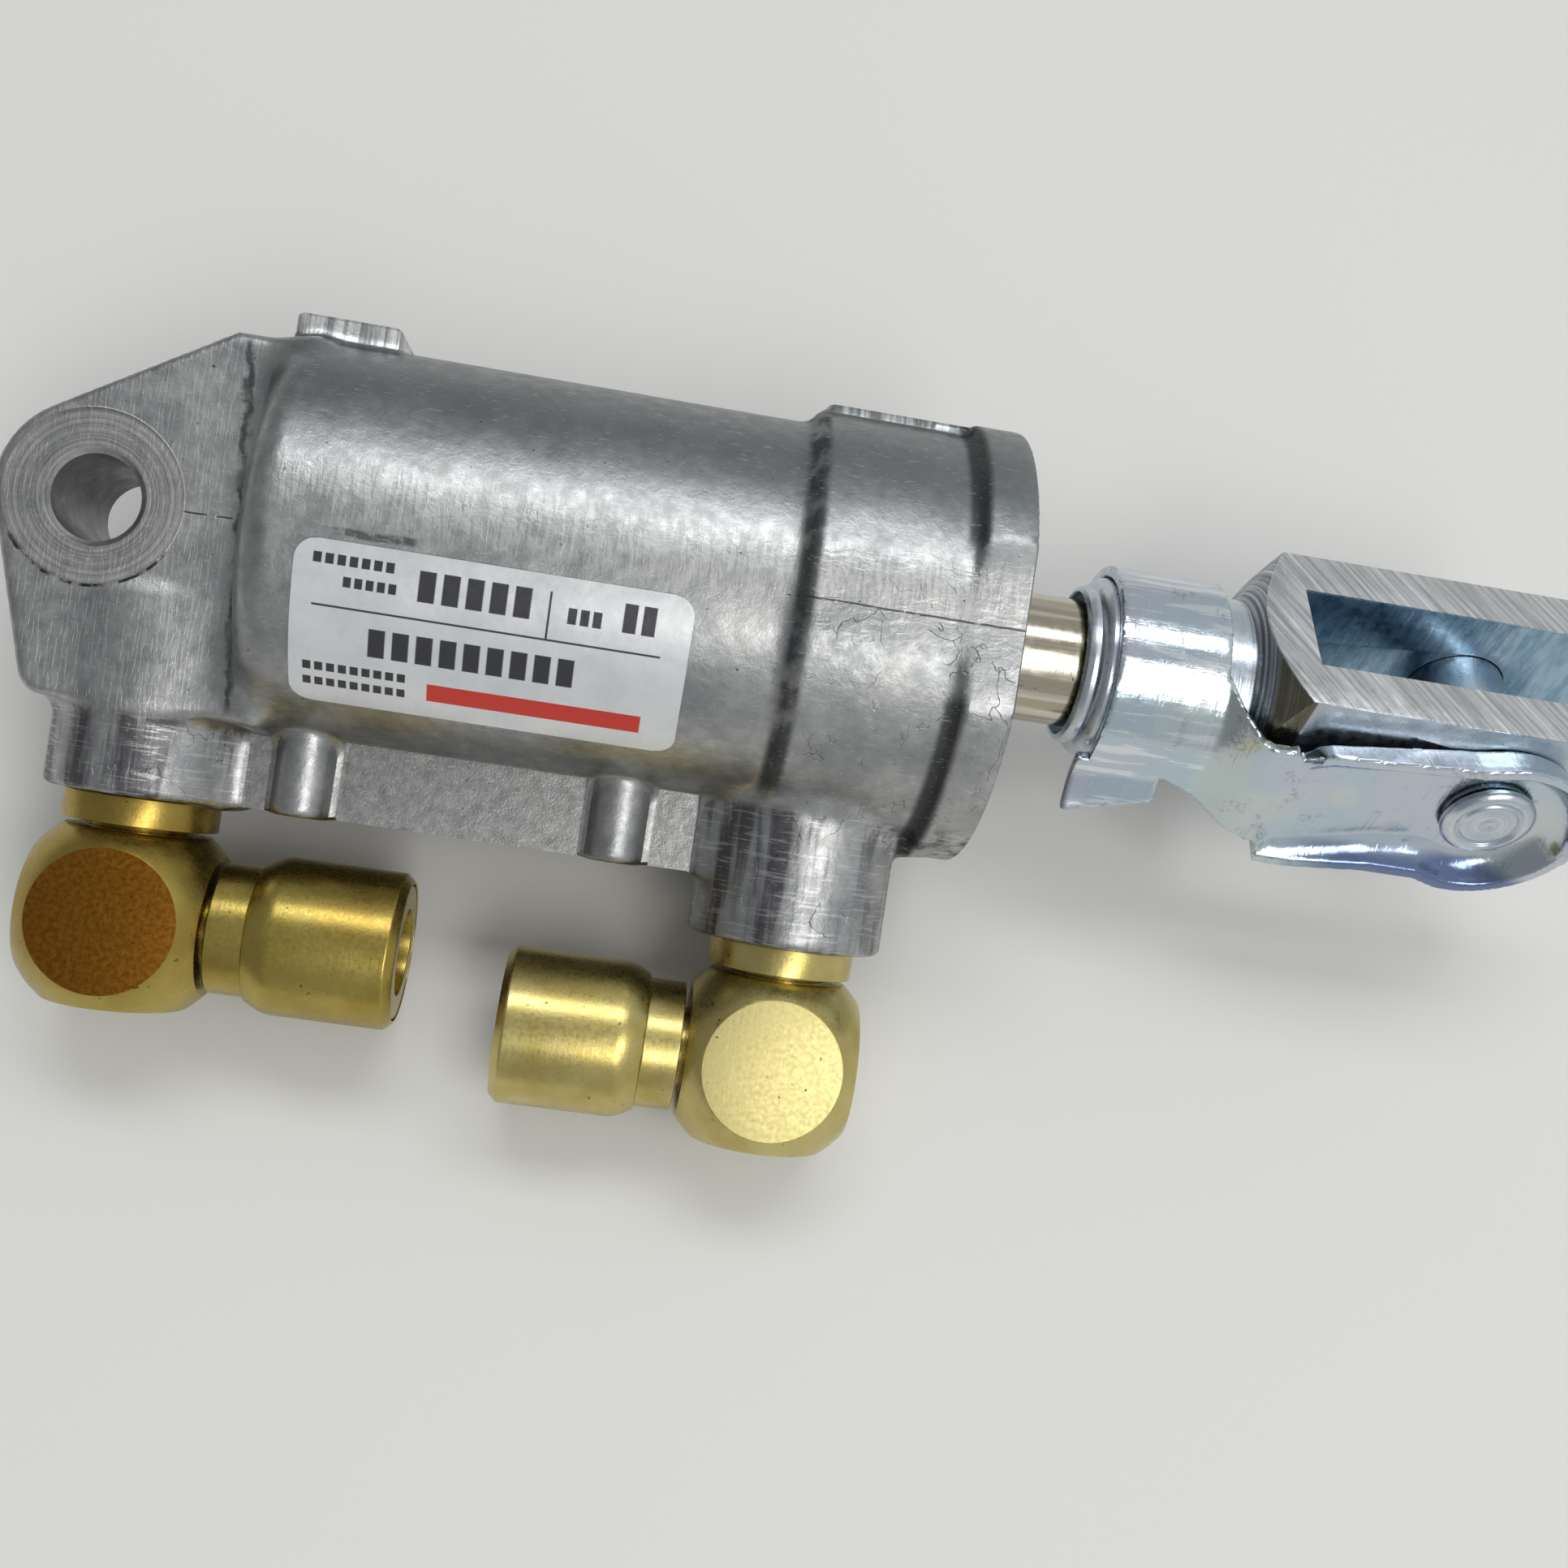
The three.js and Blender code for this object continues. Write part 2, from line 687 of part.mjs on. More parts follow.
function buildElbow(name, port) {
  const top = port.bossEnd - elbow.collarHeight;
  const centreY = top - SEAT - elbow.half;
  const along = (solid) => {
    const placed = port.direction > 0 ? solid : solid.rotate([0, 180, 0]);
    return placed.translate([port.x, centreY, 0]);
  };

  const ringY = centreY + 4.6;
  const stud = turnedY(port.x, [
    [centreY + 1.5, 1.6],
    [centreY + 1.5, 3.4],
    [ringY - 0.8, 3.4],
    [ringY - 0.8, 2.5],
    [ringY + 0.8, 2.5],
    [ringY + 0.8, 3.4],
    [top, 3.4],
    [top, elbow.collarR],
    [port.bossEnd - SEAT, elbow.collarR],
    [port.bossEnd - SEAT, 3.6],
    [port.bossEnd + 0.8, 3.6],
    [port.bossEnd + 1.1, portHole.r - 0.1],
    [port.bossEnd + 5.6, portHole.r - 0.1],
    [port.bossEnd + 6.2, portHole.r - 0.7],
    [port.bossEnd + 6.2, 1.6],
    [centreY + 1.5, 1.6],
  ]);
  addNode(name + "_stud", stud, looks.brass);

  const studRing = new THREE.TorusGeometry(3.0, 0.42, 6, SMALL_ROUND);
  studRing.rotateX(Math.PI / 2);
  studRing.translate(port.x, ringY, 0);
  addNode(name + "_stud_seal", solidOf(studRing), looks.rubber);

  const ball = new THREE.SphereGeometry(elbow.ballR, 28, 16);
  ball.rotateX(Math.PI / 2);
  const cube = box(
    [-elbow.half, elbow.half],
    [-elbow.half, elbow.half],
    [-elbow.halfHeight, elbow.halfHeight],
  );
  const spigotHole = rodY(0, 0.6, elbow.half + 2, 3.5, SMALL_ROUND);
  const body = cut(solidOf(ball).intersect(cube), [
    spigotHole,
    rodX(3.4, elbow.half + 2, 3.1, SMALL_ROUND),
    rodX(0, 4, 1.8, TINY_ROUND),
  ]);
  addNode(name + "_body", along(body), looks.brass);

  const shoulder = Array.from({ length: 5 }, (_, i) => {
    const t = (i + 1) / 5;
    const x = elbow.neckEnd + (elbow.shoulderEnd - elbow.neckEnd) * t;
    return [x, elbow.neckR + 0.3 + (elbow.sleeveR - elbow.neckR - 0.3) * Math.sin((t * Math.PI) / 2)];
  });
  const sleeve = turnedX([
    [3.8, 1.8],
    [3.8, 3.0],
    [elbow.half + SEAT, 3.0],
    [elbow.half + SEAT, elbow.neckR],
    [elbow.neckEnd, elbow.neckR],
    [elbow.neckEnd, elbow.neckR + 0.3],
    ...shoulder,
    [elbow.length - 0.6, elbow.sleeveR],
    [elbow.length, elbow.sleeveR - 0.6],
    [elbow.length, 5.2],
    [16.2, 5.2],
    [16.2, 4.5],
    [13.4, 4.5],
    [13.4, elbow.tubeR],
    [11.0, elbow.tubeR],
    [11.0, 1.8],
    [3.8, 1.8],
  ]);
  addNode(name + "_sleeve", along(sleeve), looks.brass);
  addNode(name + "_tube_seal", along(ringX(13.6, 16.0, elbow.tubeR + 0.05, 4.35)), looks.rubber);
  addNode(name + "_grab_ring", along(ringX(16.3, 16.8, elbow.tubeR + 0.05, 5.05)), looks.spring);
  addNode(name + "_retainer", along(ringX(16.95, elbow.length - 0.05, elbow.tubeR, 5.05)), looks.brass);
}

// ---------------------------------------------------------------- the part

buildCasting();
buildLabel();
buildGuide();
buildCirclip();
buildPiston();
buildRod();
buildFork();
buildClip();
buildElbow("rear_elbow", rearPort);
buildElbow("front_elbow", frontPort);

part.updateMatrixWorld(true);
const centre = new THREE.Box3().setFromObject(part).getCenter(new THREE.Vector3());
part.position.copy(centre).negate();

export default part;
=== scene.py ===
"""Looks of the pneumatic cylinder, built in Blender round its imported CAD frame.

Shapes are worked out in millimetres in "part space": X along the rod, the rear eye's axis is Z
through the origin, the ports face -Y. ORIGIN moves part space into the row frame.
"""

import math

import bmesh
import bpy
import numpy as np
from mathutils import Matrix, Vector


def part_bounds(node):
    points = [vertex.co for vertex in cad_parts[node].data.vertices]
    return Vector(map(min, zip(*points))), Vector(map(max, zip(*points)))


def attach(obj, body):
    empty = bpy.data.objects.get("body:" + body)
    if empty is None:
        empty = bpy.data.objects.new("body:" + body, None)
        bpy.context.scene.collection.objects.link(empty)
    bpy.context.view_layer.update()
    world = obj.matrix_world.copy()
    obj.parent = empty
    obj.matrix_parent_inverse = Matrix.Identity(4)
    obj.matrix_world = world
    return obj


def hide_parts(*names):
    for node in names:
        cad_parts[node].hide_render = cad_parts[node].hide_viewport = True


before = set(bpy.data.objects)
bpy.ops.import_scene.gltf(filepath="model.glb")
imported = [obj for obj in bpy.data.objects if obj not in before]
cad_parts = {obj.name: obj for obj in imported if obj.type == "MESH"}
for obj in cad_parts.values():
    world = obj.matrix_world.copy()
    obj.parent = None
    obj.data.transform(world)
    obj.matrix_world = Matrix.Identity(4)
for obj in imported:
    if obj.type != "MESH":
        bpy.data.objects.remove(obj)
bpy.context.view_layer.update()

MM = 0.001

# ---- places from the frame


def box_mm(node):
    low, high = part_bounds(node)
    return np.array(low) / MM, np.array(high) / MM


LUG_NOSE_R = 7.0  # the eye's axis is this far from the casting's rear end
ORIGIN = np.array(
    [
        box_mm("body_casting")[0][0] + LUG_NOSE_R,
        sum(box_mm("piston_rod"))[1] / 2,
        0.0,
    ]
)


def part_box(node):
    """Lowest and highest corner of a CAD node, in part space."""
    low, high = box_mm(node)
    return low - ORIGIN, high - ORIGIN


# ---- driving dimensions, in mm

# body casting; a span is a start and an end along the rod's axis
BORE_R = 12.5
BARREL_R = 14.8
BARREL_SPAN = (11.4, 60.0)
COLLAR_R = 15.75
COLLAR_SPAN = (49.9, 64.0)
FLANGE_R = 16.7
FLANGE_SPAN = (61.5, 65.3)
RING_GROOVE_R = 13.2
RING_GROOVE_SPAN = (63.1, 64.3)
LUG_HALF = 7.1
LUG_SIDE_END = 9.9  # where the lug's flat sides meet the barrel
EYE_R = 3.1
SPOT_R = 6.2
SPOT_DEPTH = 0.3
WEB_HALF = 3.0
WEB_END = -20.3
COLUMN_XS = (16.4, 39.5)
COLUMN_R = 2.1
MILLED_SPANS = ((19.1, 36.9), (42.2, 45.4), (12.3, 13.9))
PAD_HALF = 5.0
PAD_TOP = 15.8
PAD_SPANS = ((11.4, 18.9), (50.4, 61.4))
PORT_HOLE_R = 4.35
FEED_R = 1.5

# ports and elbows; "along" is the way the elbow's sleeve points at rest
PORTS = {
    "rear_elbow": {"x": 4.6, "boss_r": 7.1, "boss_end": -20.5, "along": 1, "brass": "rear_brass"},
    "front_elbow": {"x": 53.4, "boss_r": 7.45, "boss_end": -24.75, "along": -1, "brass": "front_brass"},
}
ELBOW_HALF = 6.4
ELBOW_R = 8.25
STUD_HOLE_R = 3.5
SLEEVE_HOLE_R = 3.1

# fork and clip, in the fork's own frame: X along the rod, Y along the pin
FORK_TURN = math.radians(39)  # the fork and clip are turned about the rod by this much
FORK_HALF = 8.0
FORK_SQUARE_START = 85.1
NECK_R = 7.0
SLOT_HALF = 4.0
SLOT_START = 89.3
THREAD_R = 4.0
PIN_X = float(sum(part_box("clip_pin"))[0] / 2)
PIN_HOLE_R = 4.06


# ---- mesh helpers


def turn_x(points, angle):
    c, s = math.cos(angle), math.sin(angle)
    return np.asarray(points) @ np.array([[1, 0, 0], [0, c, s], [0, -s, c]])


def make_object(name, vertices, faces, turn=0.0):
    """A mesh object from part-space millimetres, turned about the rod's axis first."""
    mesh = bpy.data.meshes.new(name)
    placed = (turn_x(vertices, turn) + ORIGIN) * MM
    mesh.from_pydata(placed.tolist(), [], faces)
    mesh.validate()
    obj = bpy.data.objects.new(name, mesh)
    bpy.context.scene.collection.objects.link(obj)
    return obj


def smooth(obj, sharp_deg=32):
    obj.data.shade_smooth()
    obj.data.set_sharp_from_angle(angle=math.radians(sharp_deg))


def finish_piece(obj, node, body, material, sharp_deg=32):
    smooth(obj, sharp_deg)
    obj.data.materials.clear()
    obj.data.materials.append(material)
    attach(obj, body)
    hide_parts(node)
    return obj


def bake_modifiers(obj):
    depsgraph = bpy.context.evaluated_depsgraph_get()
    mesh = bpy.data.meshes.new_from_object(obj.evaluated_get(depsgraph))
    obj.modifiers.clear()
    old = obj.data
    obj.data = mesh
    bpy.data.meshes.remove(old)


def boolean(obj, cutter, operation):
    modifier = obj.modifiers.new(operation, "BOOLEAN")
    modifier.operation = operation
    modifier.solver = "EXACT"
    modifier.object = cutter
    bake_modifiers(obj)
    bpy.data.objects.remove(cutter)


def bevel(obj, width):
    modifier = obj.modifiers.new("edges", "BEVEL")
    modifier.width = width * MM
    modifier.segments = 2
    modifier.limit_method = "ANGLE"
    modifier.angle_limit = math.radians(30)
    modifier.harden_normals = False
    bake_modifiers(obj)


def soften(profile, radius_at, closed, steps=3):
    """Rounds each corner of a profile of [along, radius] points by radius_at(corner)."""
    points = [np.array(p, float) for p in profile]
    count = len(points)
    out = []
    for i, p in enumerate(points):
        if not closed and i in (0, count - 1):
            out.append(p)
            continue
        before, after = points[i - 1], points[(i + 1) % count]
        to_before, to_after = before - p, after - p
        reach = min(radius_at(p), 0.45 * np.linalg.norm(to_before), 0.45 * np.linalg.norm(to_after))
        a = p + to_before / np.linalg.norm(to_before) * reach
        b = p + to_after / np.linalg.norm(to_after) * reach
        bend = np.dot(to_before, to_after) / np.linalg.norm(to_before) / np.linalg.norm(to_after)
        if bend < -0.98:
            out.append(p)
            continue
        for t in np.linspace(0, 1, steps + 1):
            out.append((1 - t) ** 2 * a + 2 * t * (1 - t) * p + t**2 * b)
    return out


def lathe(profile, closed, axis, centre, segments):
    """Vertices and faces of a profile turned about the X or Y axis through centre."""
    count = len(profile)
    angles = np.linspace(0, 2 * math.pi, segments, endpoint=False)
    along = np.array([p[0] for p in profile])
    radius = np.array([p[1] for p in profile])
    side = 1 - axis
    vertices = np.zeros((segments, count, 3))
    vertices[:, :, axis] = along
    vertices[:, :, side] = np.outer(np.sin(angles), radius)
    vertices[:, :, 2] = np.outer(np.cos(angles), radius)
    vertices += np.array(centre)
    faces = []
    for s in range(segments):
        here, there = s * count, (s + 1) % segments * count
        for i in range(count if closed else count - 1):
            j = (i + 1) % count
            face = [here + i, here + j, there + j, there + i]
            if radius[i] < 1e-6:
                face = [i, here + j, there + j]
            elif radius[j] < 1e-6:
                face = [here + i, j, there + i]
            faces.append(face)
    return vertices.reshape(-1, 3), faces


def make_lathe(name, profile, closed, axis, centre=(0, 0, 0), segments=96, turn=0.0):
    vertices, faces = lathe(profile, closed, axis, centre, segments)
    obj = make_object(name, vertices, faces, turn)
    weld(obj)
    return obj


def weld(obj):
    """Drops unused points and makes every face look outwards."""
    bm = bmesh.new()
    bm.from_mesh(obj.data)
    loose = [v for v in bm.verts if not v.link_faces]
    bmesh.ops.delete(bm, geom=loose, context="VERTS")
    bmesh.ops.recalc_face_normals(bm, faces=bm.faces)
    bm.to_mesh(obj.data)
    bm.free()


def make_box(name, low, high, turn=0.0):
    corners = [
        [(low, high)[i][0], (low, high)[j][1], (low, high)[k][2]]
        for i in (0, 1)
        for j in (0, 1)
        for k in (0, 1)
    ]
    faces = [(0, 1, 3, 2), (4, 6, 7, 5), (0, 4, 5, 1), (2, 3, 7, 6), (0, 2, 6, 4), (1, 5, 7, 3)]
    return make_object(name, corners, faces, turn)


def join_objects(name, objects):
    """One object that holds several closed solids."""
    bm = bmesh.new()
    for obj in objects:
        bm.from_mesh(obj.data)
        bpy.data.objects.remove(obj)
    mesh = bpy.data.meshes.new(name)
    bm.to_mesh(mesh)
    bm.free()
    joined = bpy.data.objects.new(name, mesh)
    bpy.context.scene.collection.objects.link(joined)
    return joined


# ---- turned pieces from the frame


def node_profile(node, axis, turn=0.0):
    """The [along, radius] outline of a turned CAD node, its axis line and whether it is a loop."""
    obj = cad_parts[node]
    points = np.array([v.co for v in obj.data.vertices]) / MM - ORIGIN
    points = turn_x(points, -turn)
    side = 1 - axis
    centre = (points.min(0) + points.max(0)) / 2
    offset = points - centre
    for sign in (1, -1):
        on_plane = (np.abs(offset[:, side]) < 2e-3) & (offset[:, 2] * sign > -1e-3)
        if on_plane.sum() > 3:
            break
    keys = {}
    for i in np.flatnonzero(on_plane):
        radius = abs(offset[i, 2])
        keys[i] = (round(float(points[i, axis]), 2), round(float(radius), 2))
    links = {key: set() for key in keys.values()}
    for edge in obj.data.edges:
        a, b = edge.vertices
        if a in keys and b in keys and keys[a] != keys[b]:
            links[keys[a]].add(keys[b])
            links[keys[b]].add(keys[a])
    return close_profile(links), centre


def close_profile(links):
    """Orders linked profile points; a flat end face has no edge of its own, so it is bridged."""
    loose = sorted(key for key, near in links.items() if len(near) < 2 and key[1] > 1e-6)
    by_along = {}
    for key in loose:
        by_along.setdefault(key[0], []).append(key)
    ends = []
    for group in by_along.values():
        group.sort(key=lambda key: key[1])
        while len(group) > 1:
            a, b = group.pop(), group.pop()
            links[a].add(b)
            links[b].add(a)
        ends.extend(group)
    ends += [key for key, near in links.items() if key[1] <= 1e-6 and len(near) == 1]
    start = ends[0] if ends else min(links)
    order = [start]
    previous, here = None, start
    while True:
        following = [key for key in sorted(links[here]) if key != previous and key not in order]
        if not following:
            break
        previous, here = here, following[0]
        order.append(here)
    closed = not ends
    if not closed:
        first = [] if order[0][1] <= 1e-6 else [(order[0][0], 0.0)]
        last = [] if order[-1][1] <= 1e-6 else [(order[-1][0], 0.0)]
        order = first + order + last
    return order, closed


def turned_piece(node, body, axis, material, edge=0.08, turn=0.0, corner=None):
    """Redraws a turned CAD node finely, its corners rounded by edge or by corner(point)."""
    (profile, closed), centre = node_profile(node, axis, turn)
    middle = centre.copy()
    middle[axis] = 0
    rounded = soften(profile, corner or (lambda point: edge), closed, 3 if corner is None else 6)
    obj = make_lathe(node + "_look", rounded, closed, axis, middle, 96, turn)
    return finish_piece(obj, node, body, material)


# ---- shapes from distance fields


def smooth_min(a, b, k):
    h = np.maximum(k - np.abs(a - b), 0) / k
    return np.minimum(a, b) - h * h * k / 4


def smooth_max(a, b, k):
    return -smooth_min(-a, -b, k)


def rounded_box(p, low, high, edge):
    low, high = np.array(low), np.array(high)
    q = np.abs(p - (low + high) / 2) - (high - low) / 2 + edge
    outside = np.linalg.norm(np.maximum(q, 0), axis=1)
    return outside + np.minimum(q.max(1), 0) - edge


def rounded_rod(radial, along, r, low, high, edge):
    """A cylinder of radius r from low to high along its axis, with rounded rims."""
    q = np.stack([radial - r + edge, np.abs(along - (low + high) / 2) - (high - low) / 2 + edge])
    return np.linalg.norm(np.maximum(q, 0), axis=0) + np.minimum(q.max(0), 0) - edge


def polygon_distance(a, b, corners):
    """Signed distance in a plane to a closed outline, negative inside."""
    distance = np.full(a.shape, 1e9)
    inside = np.zeros(a.shape, bool)
    for (a0, b0), (a1, b1) in zip(corners, corners[1:] + corners[:1]):
        ea, eb = a1 - a0, b1 - b0
        t = np.clip(((a - a0) * ea + (b - b0) * eb) / (ea * ea + eb * eb), 0, 1)
        distance = np.minimum(distance, np.hypot(a - a0 - t * ea, b - b0 - t * eb))
        crosses = (b0 > b) != (b1 > b)
        at = a0 + (b - b0) * ea / np.where(eb == 0, 1e-12, eb)
        inside ^= crosses & (a < at)
    return np.where(inside, -distance, distance)


def extruded(flat, along, low, high, edge):
    """A plane distance, rounded by edge, given a thickness from low to high."""
    q = np.stack([flat + edge, np.abs(along - (low + high) / 2) - (high - low) / 2 + edge])
    return np.linalg.norm(np.maximum(q, 0), axis=0) + np.minimum(q.max(0), 0) - edge


def arc_points(a, b, r, from_deg, to_deg, steps):
    angles = np.radians(np.linspace(from_deg, to_deg, steps + 1))
    return [(a + r * math.cos(t), b + r * math.sin(t)) for t in angles]


def gradient(field, p, reach=0.01):
    columns = []
    for axis in range(3):
        shift = np.zeros(3)
        shift[axis] = reach
        columns.append((field(p + shift) - field(p - shift)) / (2 * reach))
    return np.stack(columns, 1)


def project(field, p, rounds):
    for _ in range(rounds):
        slope = gradient(field, p)
        size = np.maximum((slope**2).sum(1), 0.05)
        p = p - np.clip(field(p) / size, -0.5, 0.5)[:, None] * slope
    return p


def mesh_field(name, field, low, high, step, turn=0.0, relax=2):
    """Meshes the zero level of a distance field with square-ish faces that lie on it."""
    axes = [np.arange(a, b + step, step) for a, b in zip(low, high)]
    grid = np.stack(np.meshgrid(*axes, indexing="ij"), -1)
    flat = grid.reshape(-1, 3)
    value = np.concatenate([field(part) for part in np.array_split(flat, 24)])
    inside = (value < 0).reshape(grid.shape[:3])
    cell = inside[:-1, :-1, :-1].astype(np.int8)
    for i, j, k in [(0, 0, 1), (0, 1, 0), (0, 1, 1), (1, 0, 0), (1, 0, 1), (1, 1, 0), (1, 1, 1)]:
        ni, nj, nk = inside.shape
        cell = cell + inside[i : ni - 1 + i, j : nj - 1 + j, k : nk - 1 + k]
    mixed = (cell > 0) & (cell < 8)
    index = np.full(mixed.shape, -1)
    index[mixed] = np.arange(mixed.sum())
    points = np.array(low) + (np.argwhere(mixed) + 0.5) * step
    quads = []
    for axis in range(3):
        u, v = (axis + 1) % 3, (axis + 2) % 3
        lower = np.take(inside, range(inside.shape[axis] - 1), axis)
        upper = np.take(inside, range(1, inside.shape[axis]), axis)
        at = np.argwhere(lower != upper)
        at = at[(at[:, u] > 0) & (at[:, v] > 0)]
        at = at[(at[:, u] < mixed.shape[u]) & (at[:, v] < mixed.shape[v])]
        leaving = lower[tuple(at.T)]
        ring = []
        for du, dv in [(-1, -1), (0, -1), (0, 0), (-1, 0)]:
            beside = at.copy()
            beside[:, u] += du
            beside[:, v] += dv
            ring.append(index[tuple(beside.T)])
        ring = np.stack(ring, 1)
        ring[~leaving] = ring[~leaving][:, ::-1]
        quads.append(ring)
    quads = np.concatenate(quads)
    points = project(field, points, 6)
    edges = np.concatenate([quads[:, [i, (i + 1) % 4]] for i in range(4)])
    for _ in range(relax):
        total = np.zeros_like(points)
        share = np.zeros(len(points))
        for a, b in ((0, 1), (1, 0)):
            np.add.at(total, edges[:, a], points[edges[:, b]])
            np.add.at(share, edges[:, a], 1)
        points = project(field, 0.5 * points + 0.5 * total / share[:, None], 2)
    return make_object(name, points, quads.tolist(), turn)


# ---- materials


class Material:
    """A node material under construction; positions are part-space millimetres."""

    def __init__(self, name, metallic, roughness):
        self.material = bpy.data.materials.new(name)
        self.material.use_nodes = True
        self.tree = self.material.node_tree
        self.shader = self.tree.nodes["Principled BSDF"]
        self.shader.inputs["Metallic"].default_value = metallic
        self.shader.inputs["Roughness"].default_value = roughness
        place = self.node("ShaderNodeTexCoord").outputs["Object"]
        mapping = self.node("ShaderNodeMapping")
        mapping.inputs["Scale"].default_value = (1 / MM,) * 3
        mapping.inputs["Location"].default_value = tuple(-ORIGIN)
        self.link(place, mapping.inputs["Vector"])
        self.place = mapping.outputs["Vector"]

    def node(self, kind, **settings):
        made = self.tree.nodes.new(kind)
        for key, value in settings.items():
            setattr(made, key, value)
        return made

    def link(self, source, socket):
        if hasattr(source, "is_output"):
            self.tree.links.new(source, socket)
        else:
            socket.default_value = source

    def math(self, operation, *values):
        made = self.node("ShaderNodeMath", operation=operation)
        for value, socket in zip(values, made.inputs):
            self.link(value, socket)
        return made.outputs[0]

    def distance(self, a, b):
        squares = self.math("ADD", self.math("POWER", a, 2.0), self.math("POWER", b, 2.0))
        return self.math("SQRT", squares)

    def split(self, vector):
        made = self.node("ShaderNodeSeparateXYZ")
        self.link(vector, made.inputs[0])
        return made.outputs

    def combine(self, x, y, z):
        made = self.node("ShaderNodeCombineXYZ")
        for value, socket in zip((x, y, z), made.inputs):
            self.link(value, socket)
        return made.outputs[0]

    def stretched(self, scale, vector=None, turn=(0, 0, 0)):
        made = self.node("ShaderNodeMapping")
        self.link(vector or self.place, made.inputs["Vector"])
        made.inputs["Rotation"].default_value = turn
        made.inputs["Scale"].default_value = scale
        return made.outputs["Vector"]

    def noise(self, scale, detail=4.0, rough=0.55, vector=None):
        made = self.node("ShaderNodeTexNoise")
        self.link(vector or self.place, made.inputs["Vector"])
        made.inputs["Scale"].default_value = scale
        made.inputs["Detail"].default_value = detail
        made.inputs["Roughness"].default_value = rough
        return made.outputs["Fac"]

    def cracks(self, scale, vector=None):
        made = self.node("ShaderNodeTexVoronoi", feature="DISTANCE_TO_EDGE")
        self.link(vector or self.place, made.inputs["Vector"])
        made.inputs["Scale"].default_value = scale
        return made.outputs["Distance"]

    def ramp(self, value, low, high, out_low=0.0, out_high=1.0):
        made = self.node("ShaderNodeMapRange", interpolation_type="SMOOTHSTEP")
        for item, socket in zip((value, low, high, out_low, out_high), made.inputs):
            self.link(item, socket)
        return made.outputs[0]

    def mix(self, factor, a, b):
        made = self.node("ShaderNodeMix", data_type="RGBA")
        self.link(factor, made.inputs[0])
        self.link(a if hasattr(a, "is_output") else (*a, 1), made.inputs[6])
        self.link(b if hasattr(b, "is_output") else (*b, 1), made.inputs[7])
        return made.outputs[2]

    def warped(self, amount, scale):
        """Part-space positions pushed about by a noise, for lines that wander."""
        made = self.node("ShaderNodeTexNoise")
        self.link(self.place, made.inputs["Vector"])
        made.inputs["Scale"].default_value = scale
        shift = self.node("ShaderNodeVectorMath", operation="SCALE")
        self.link(made.outputs["Color"], shift.inputs[0])
        shift.inputs["Scale"].default_value = amount
        total = self.node("ShaderNodeVectorMath", operation="ADD")
        self.link(self.place, total.inputs[0])
        self.link(shift.outputs[0], total.inputs[1])
        return total.outputs[0]

    def bump(self, *layers):
        """Stacks (height in mm, value) layers into the shader's normal."""
        normal = None
        for height, value in layers:
            made = self.node("ShaderNodeBump")
            made.inputs["Strength"].default_value = 1.0
            made.inputs["Distance"].default_value = height * MM
            self.link(value, made.inputs["Height"])
            if normal is not None:
                self.link(normal, made.inputs["Normal"])
            normal = made.outputs["Normal"]
        self.link(normal, self.shader.inputs["Normal"])

    def colour(self, value):
        self.link(value, self.shader.inputs["Base Color"])

    def roughness(self, value):
        self.link(value, self.shader.inputs["Roughness"])

    # masks: 1 inside a range, with soft ends

    def above(self, value, edge, soft):
        return self.ramp(value, edge - soft, edge + soft)

    def below(self, value, edge, soft):
        return self.ramp(value, edge - soft, edge + soft, 1.0, 0.0)

    def between(self, value, low, high, soft):
        return self.math("MULTIPLY", self.above(value, low, soft), self.below(value, high, soft))

    def times(self, *values):
        total = values[0]
        for value in values[1:]:
            total = self.math("MULTIPLY", total, value)
        return total

    def either(self, *values):
        total = values[0]
        for value in values[1:]:
            total = self.math("MAXIMUM", total, value)
        return total

    def invert(self, value):
        return self.math("SUBTRACT", 1.0, value)

    def specks(self, scale, rarity):
        return self.above(self.noise(scale, 2, 0.5), rarity, 0.03)

    def scratches(self, scale, rarity, turn=(0, 0, 0)):
        """Thin lines: a noise squeezed across the line and stretched along it."""
        return self.above(self.noise(1.0, 2, 0.5, self.stretched(scale, turn=turn)), rarity, 0.03)


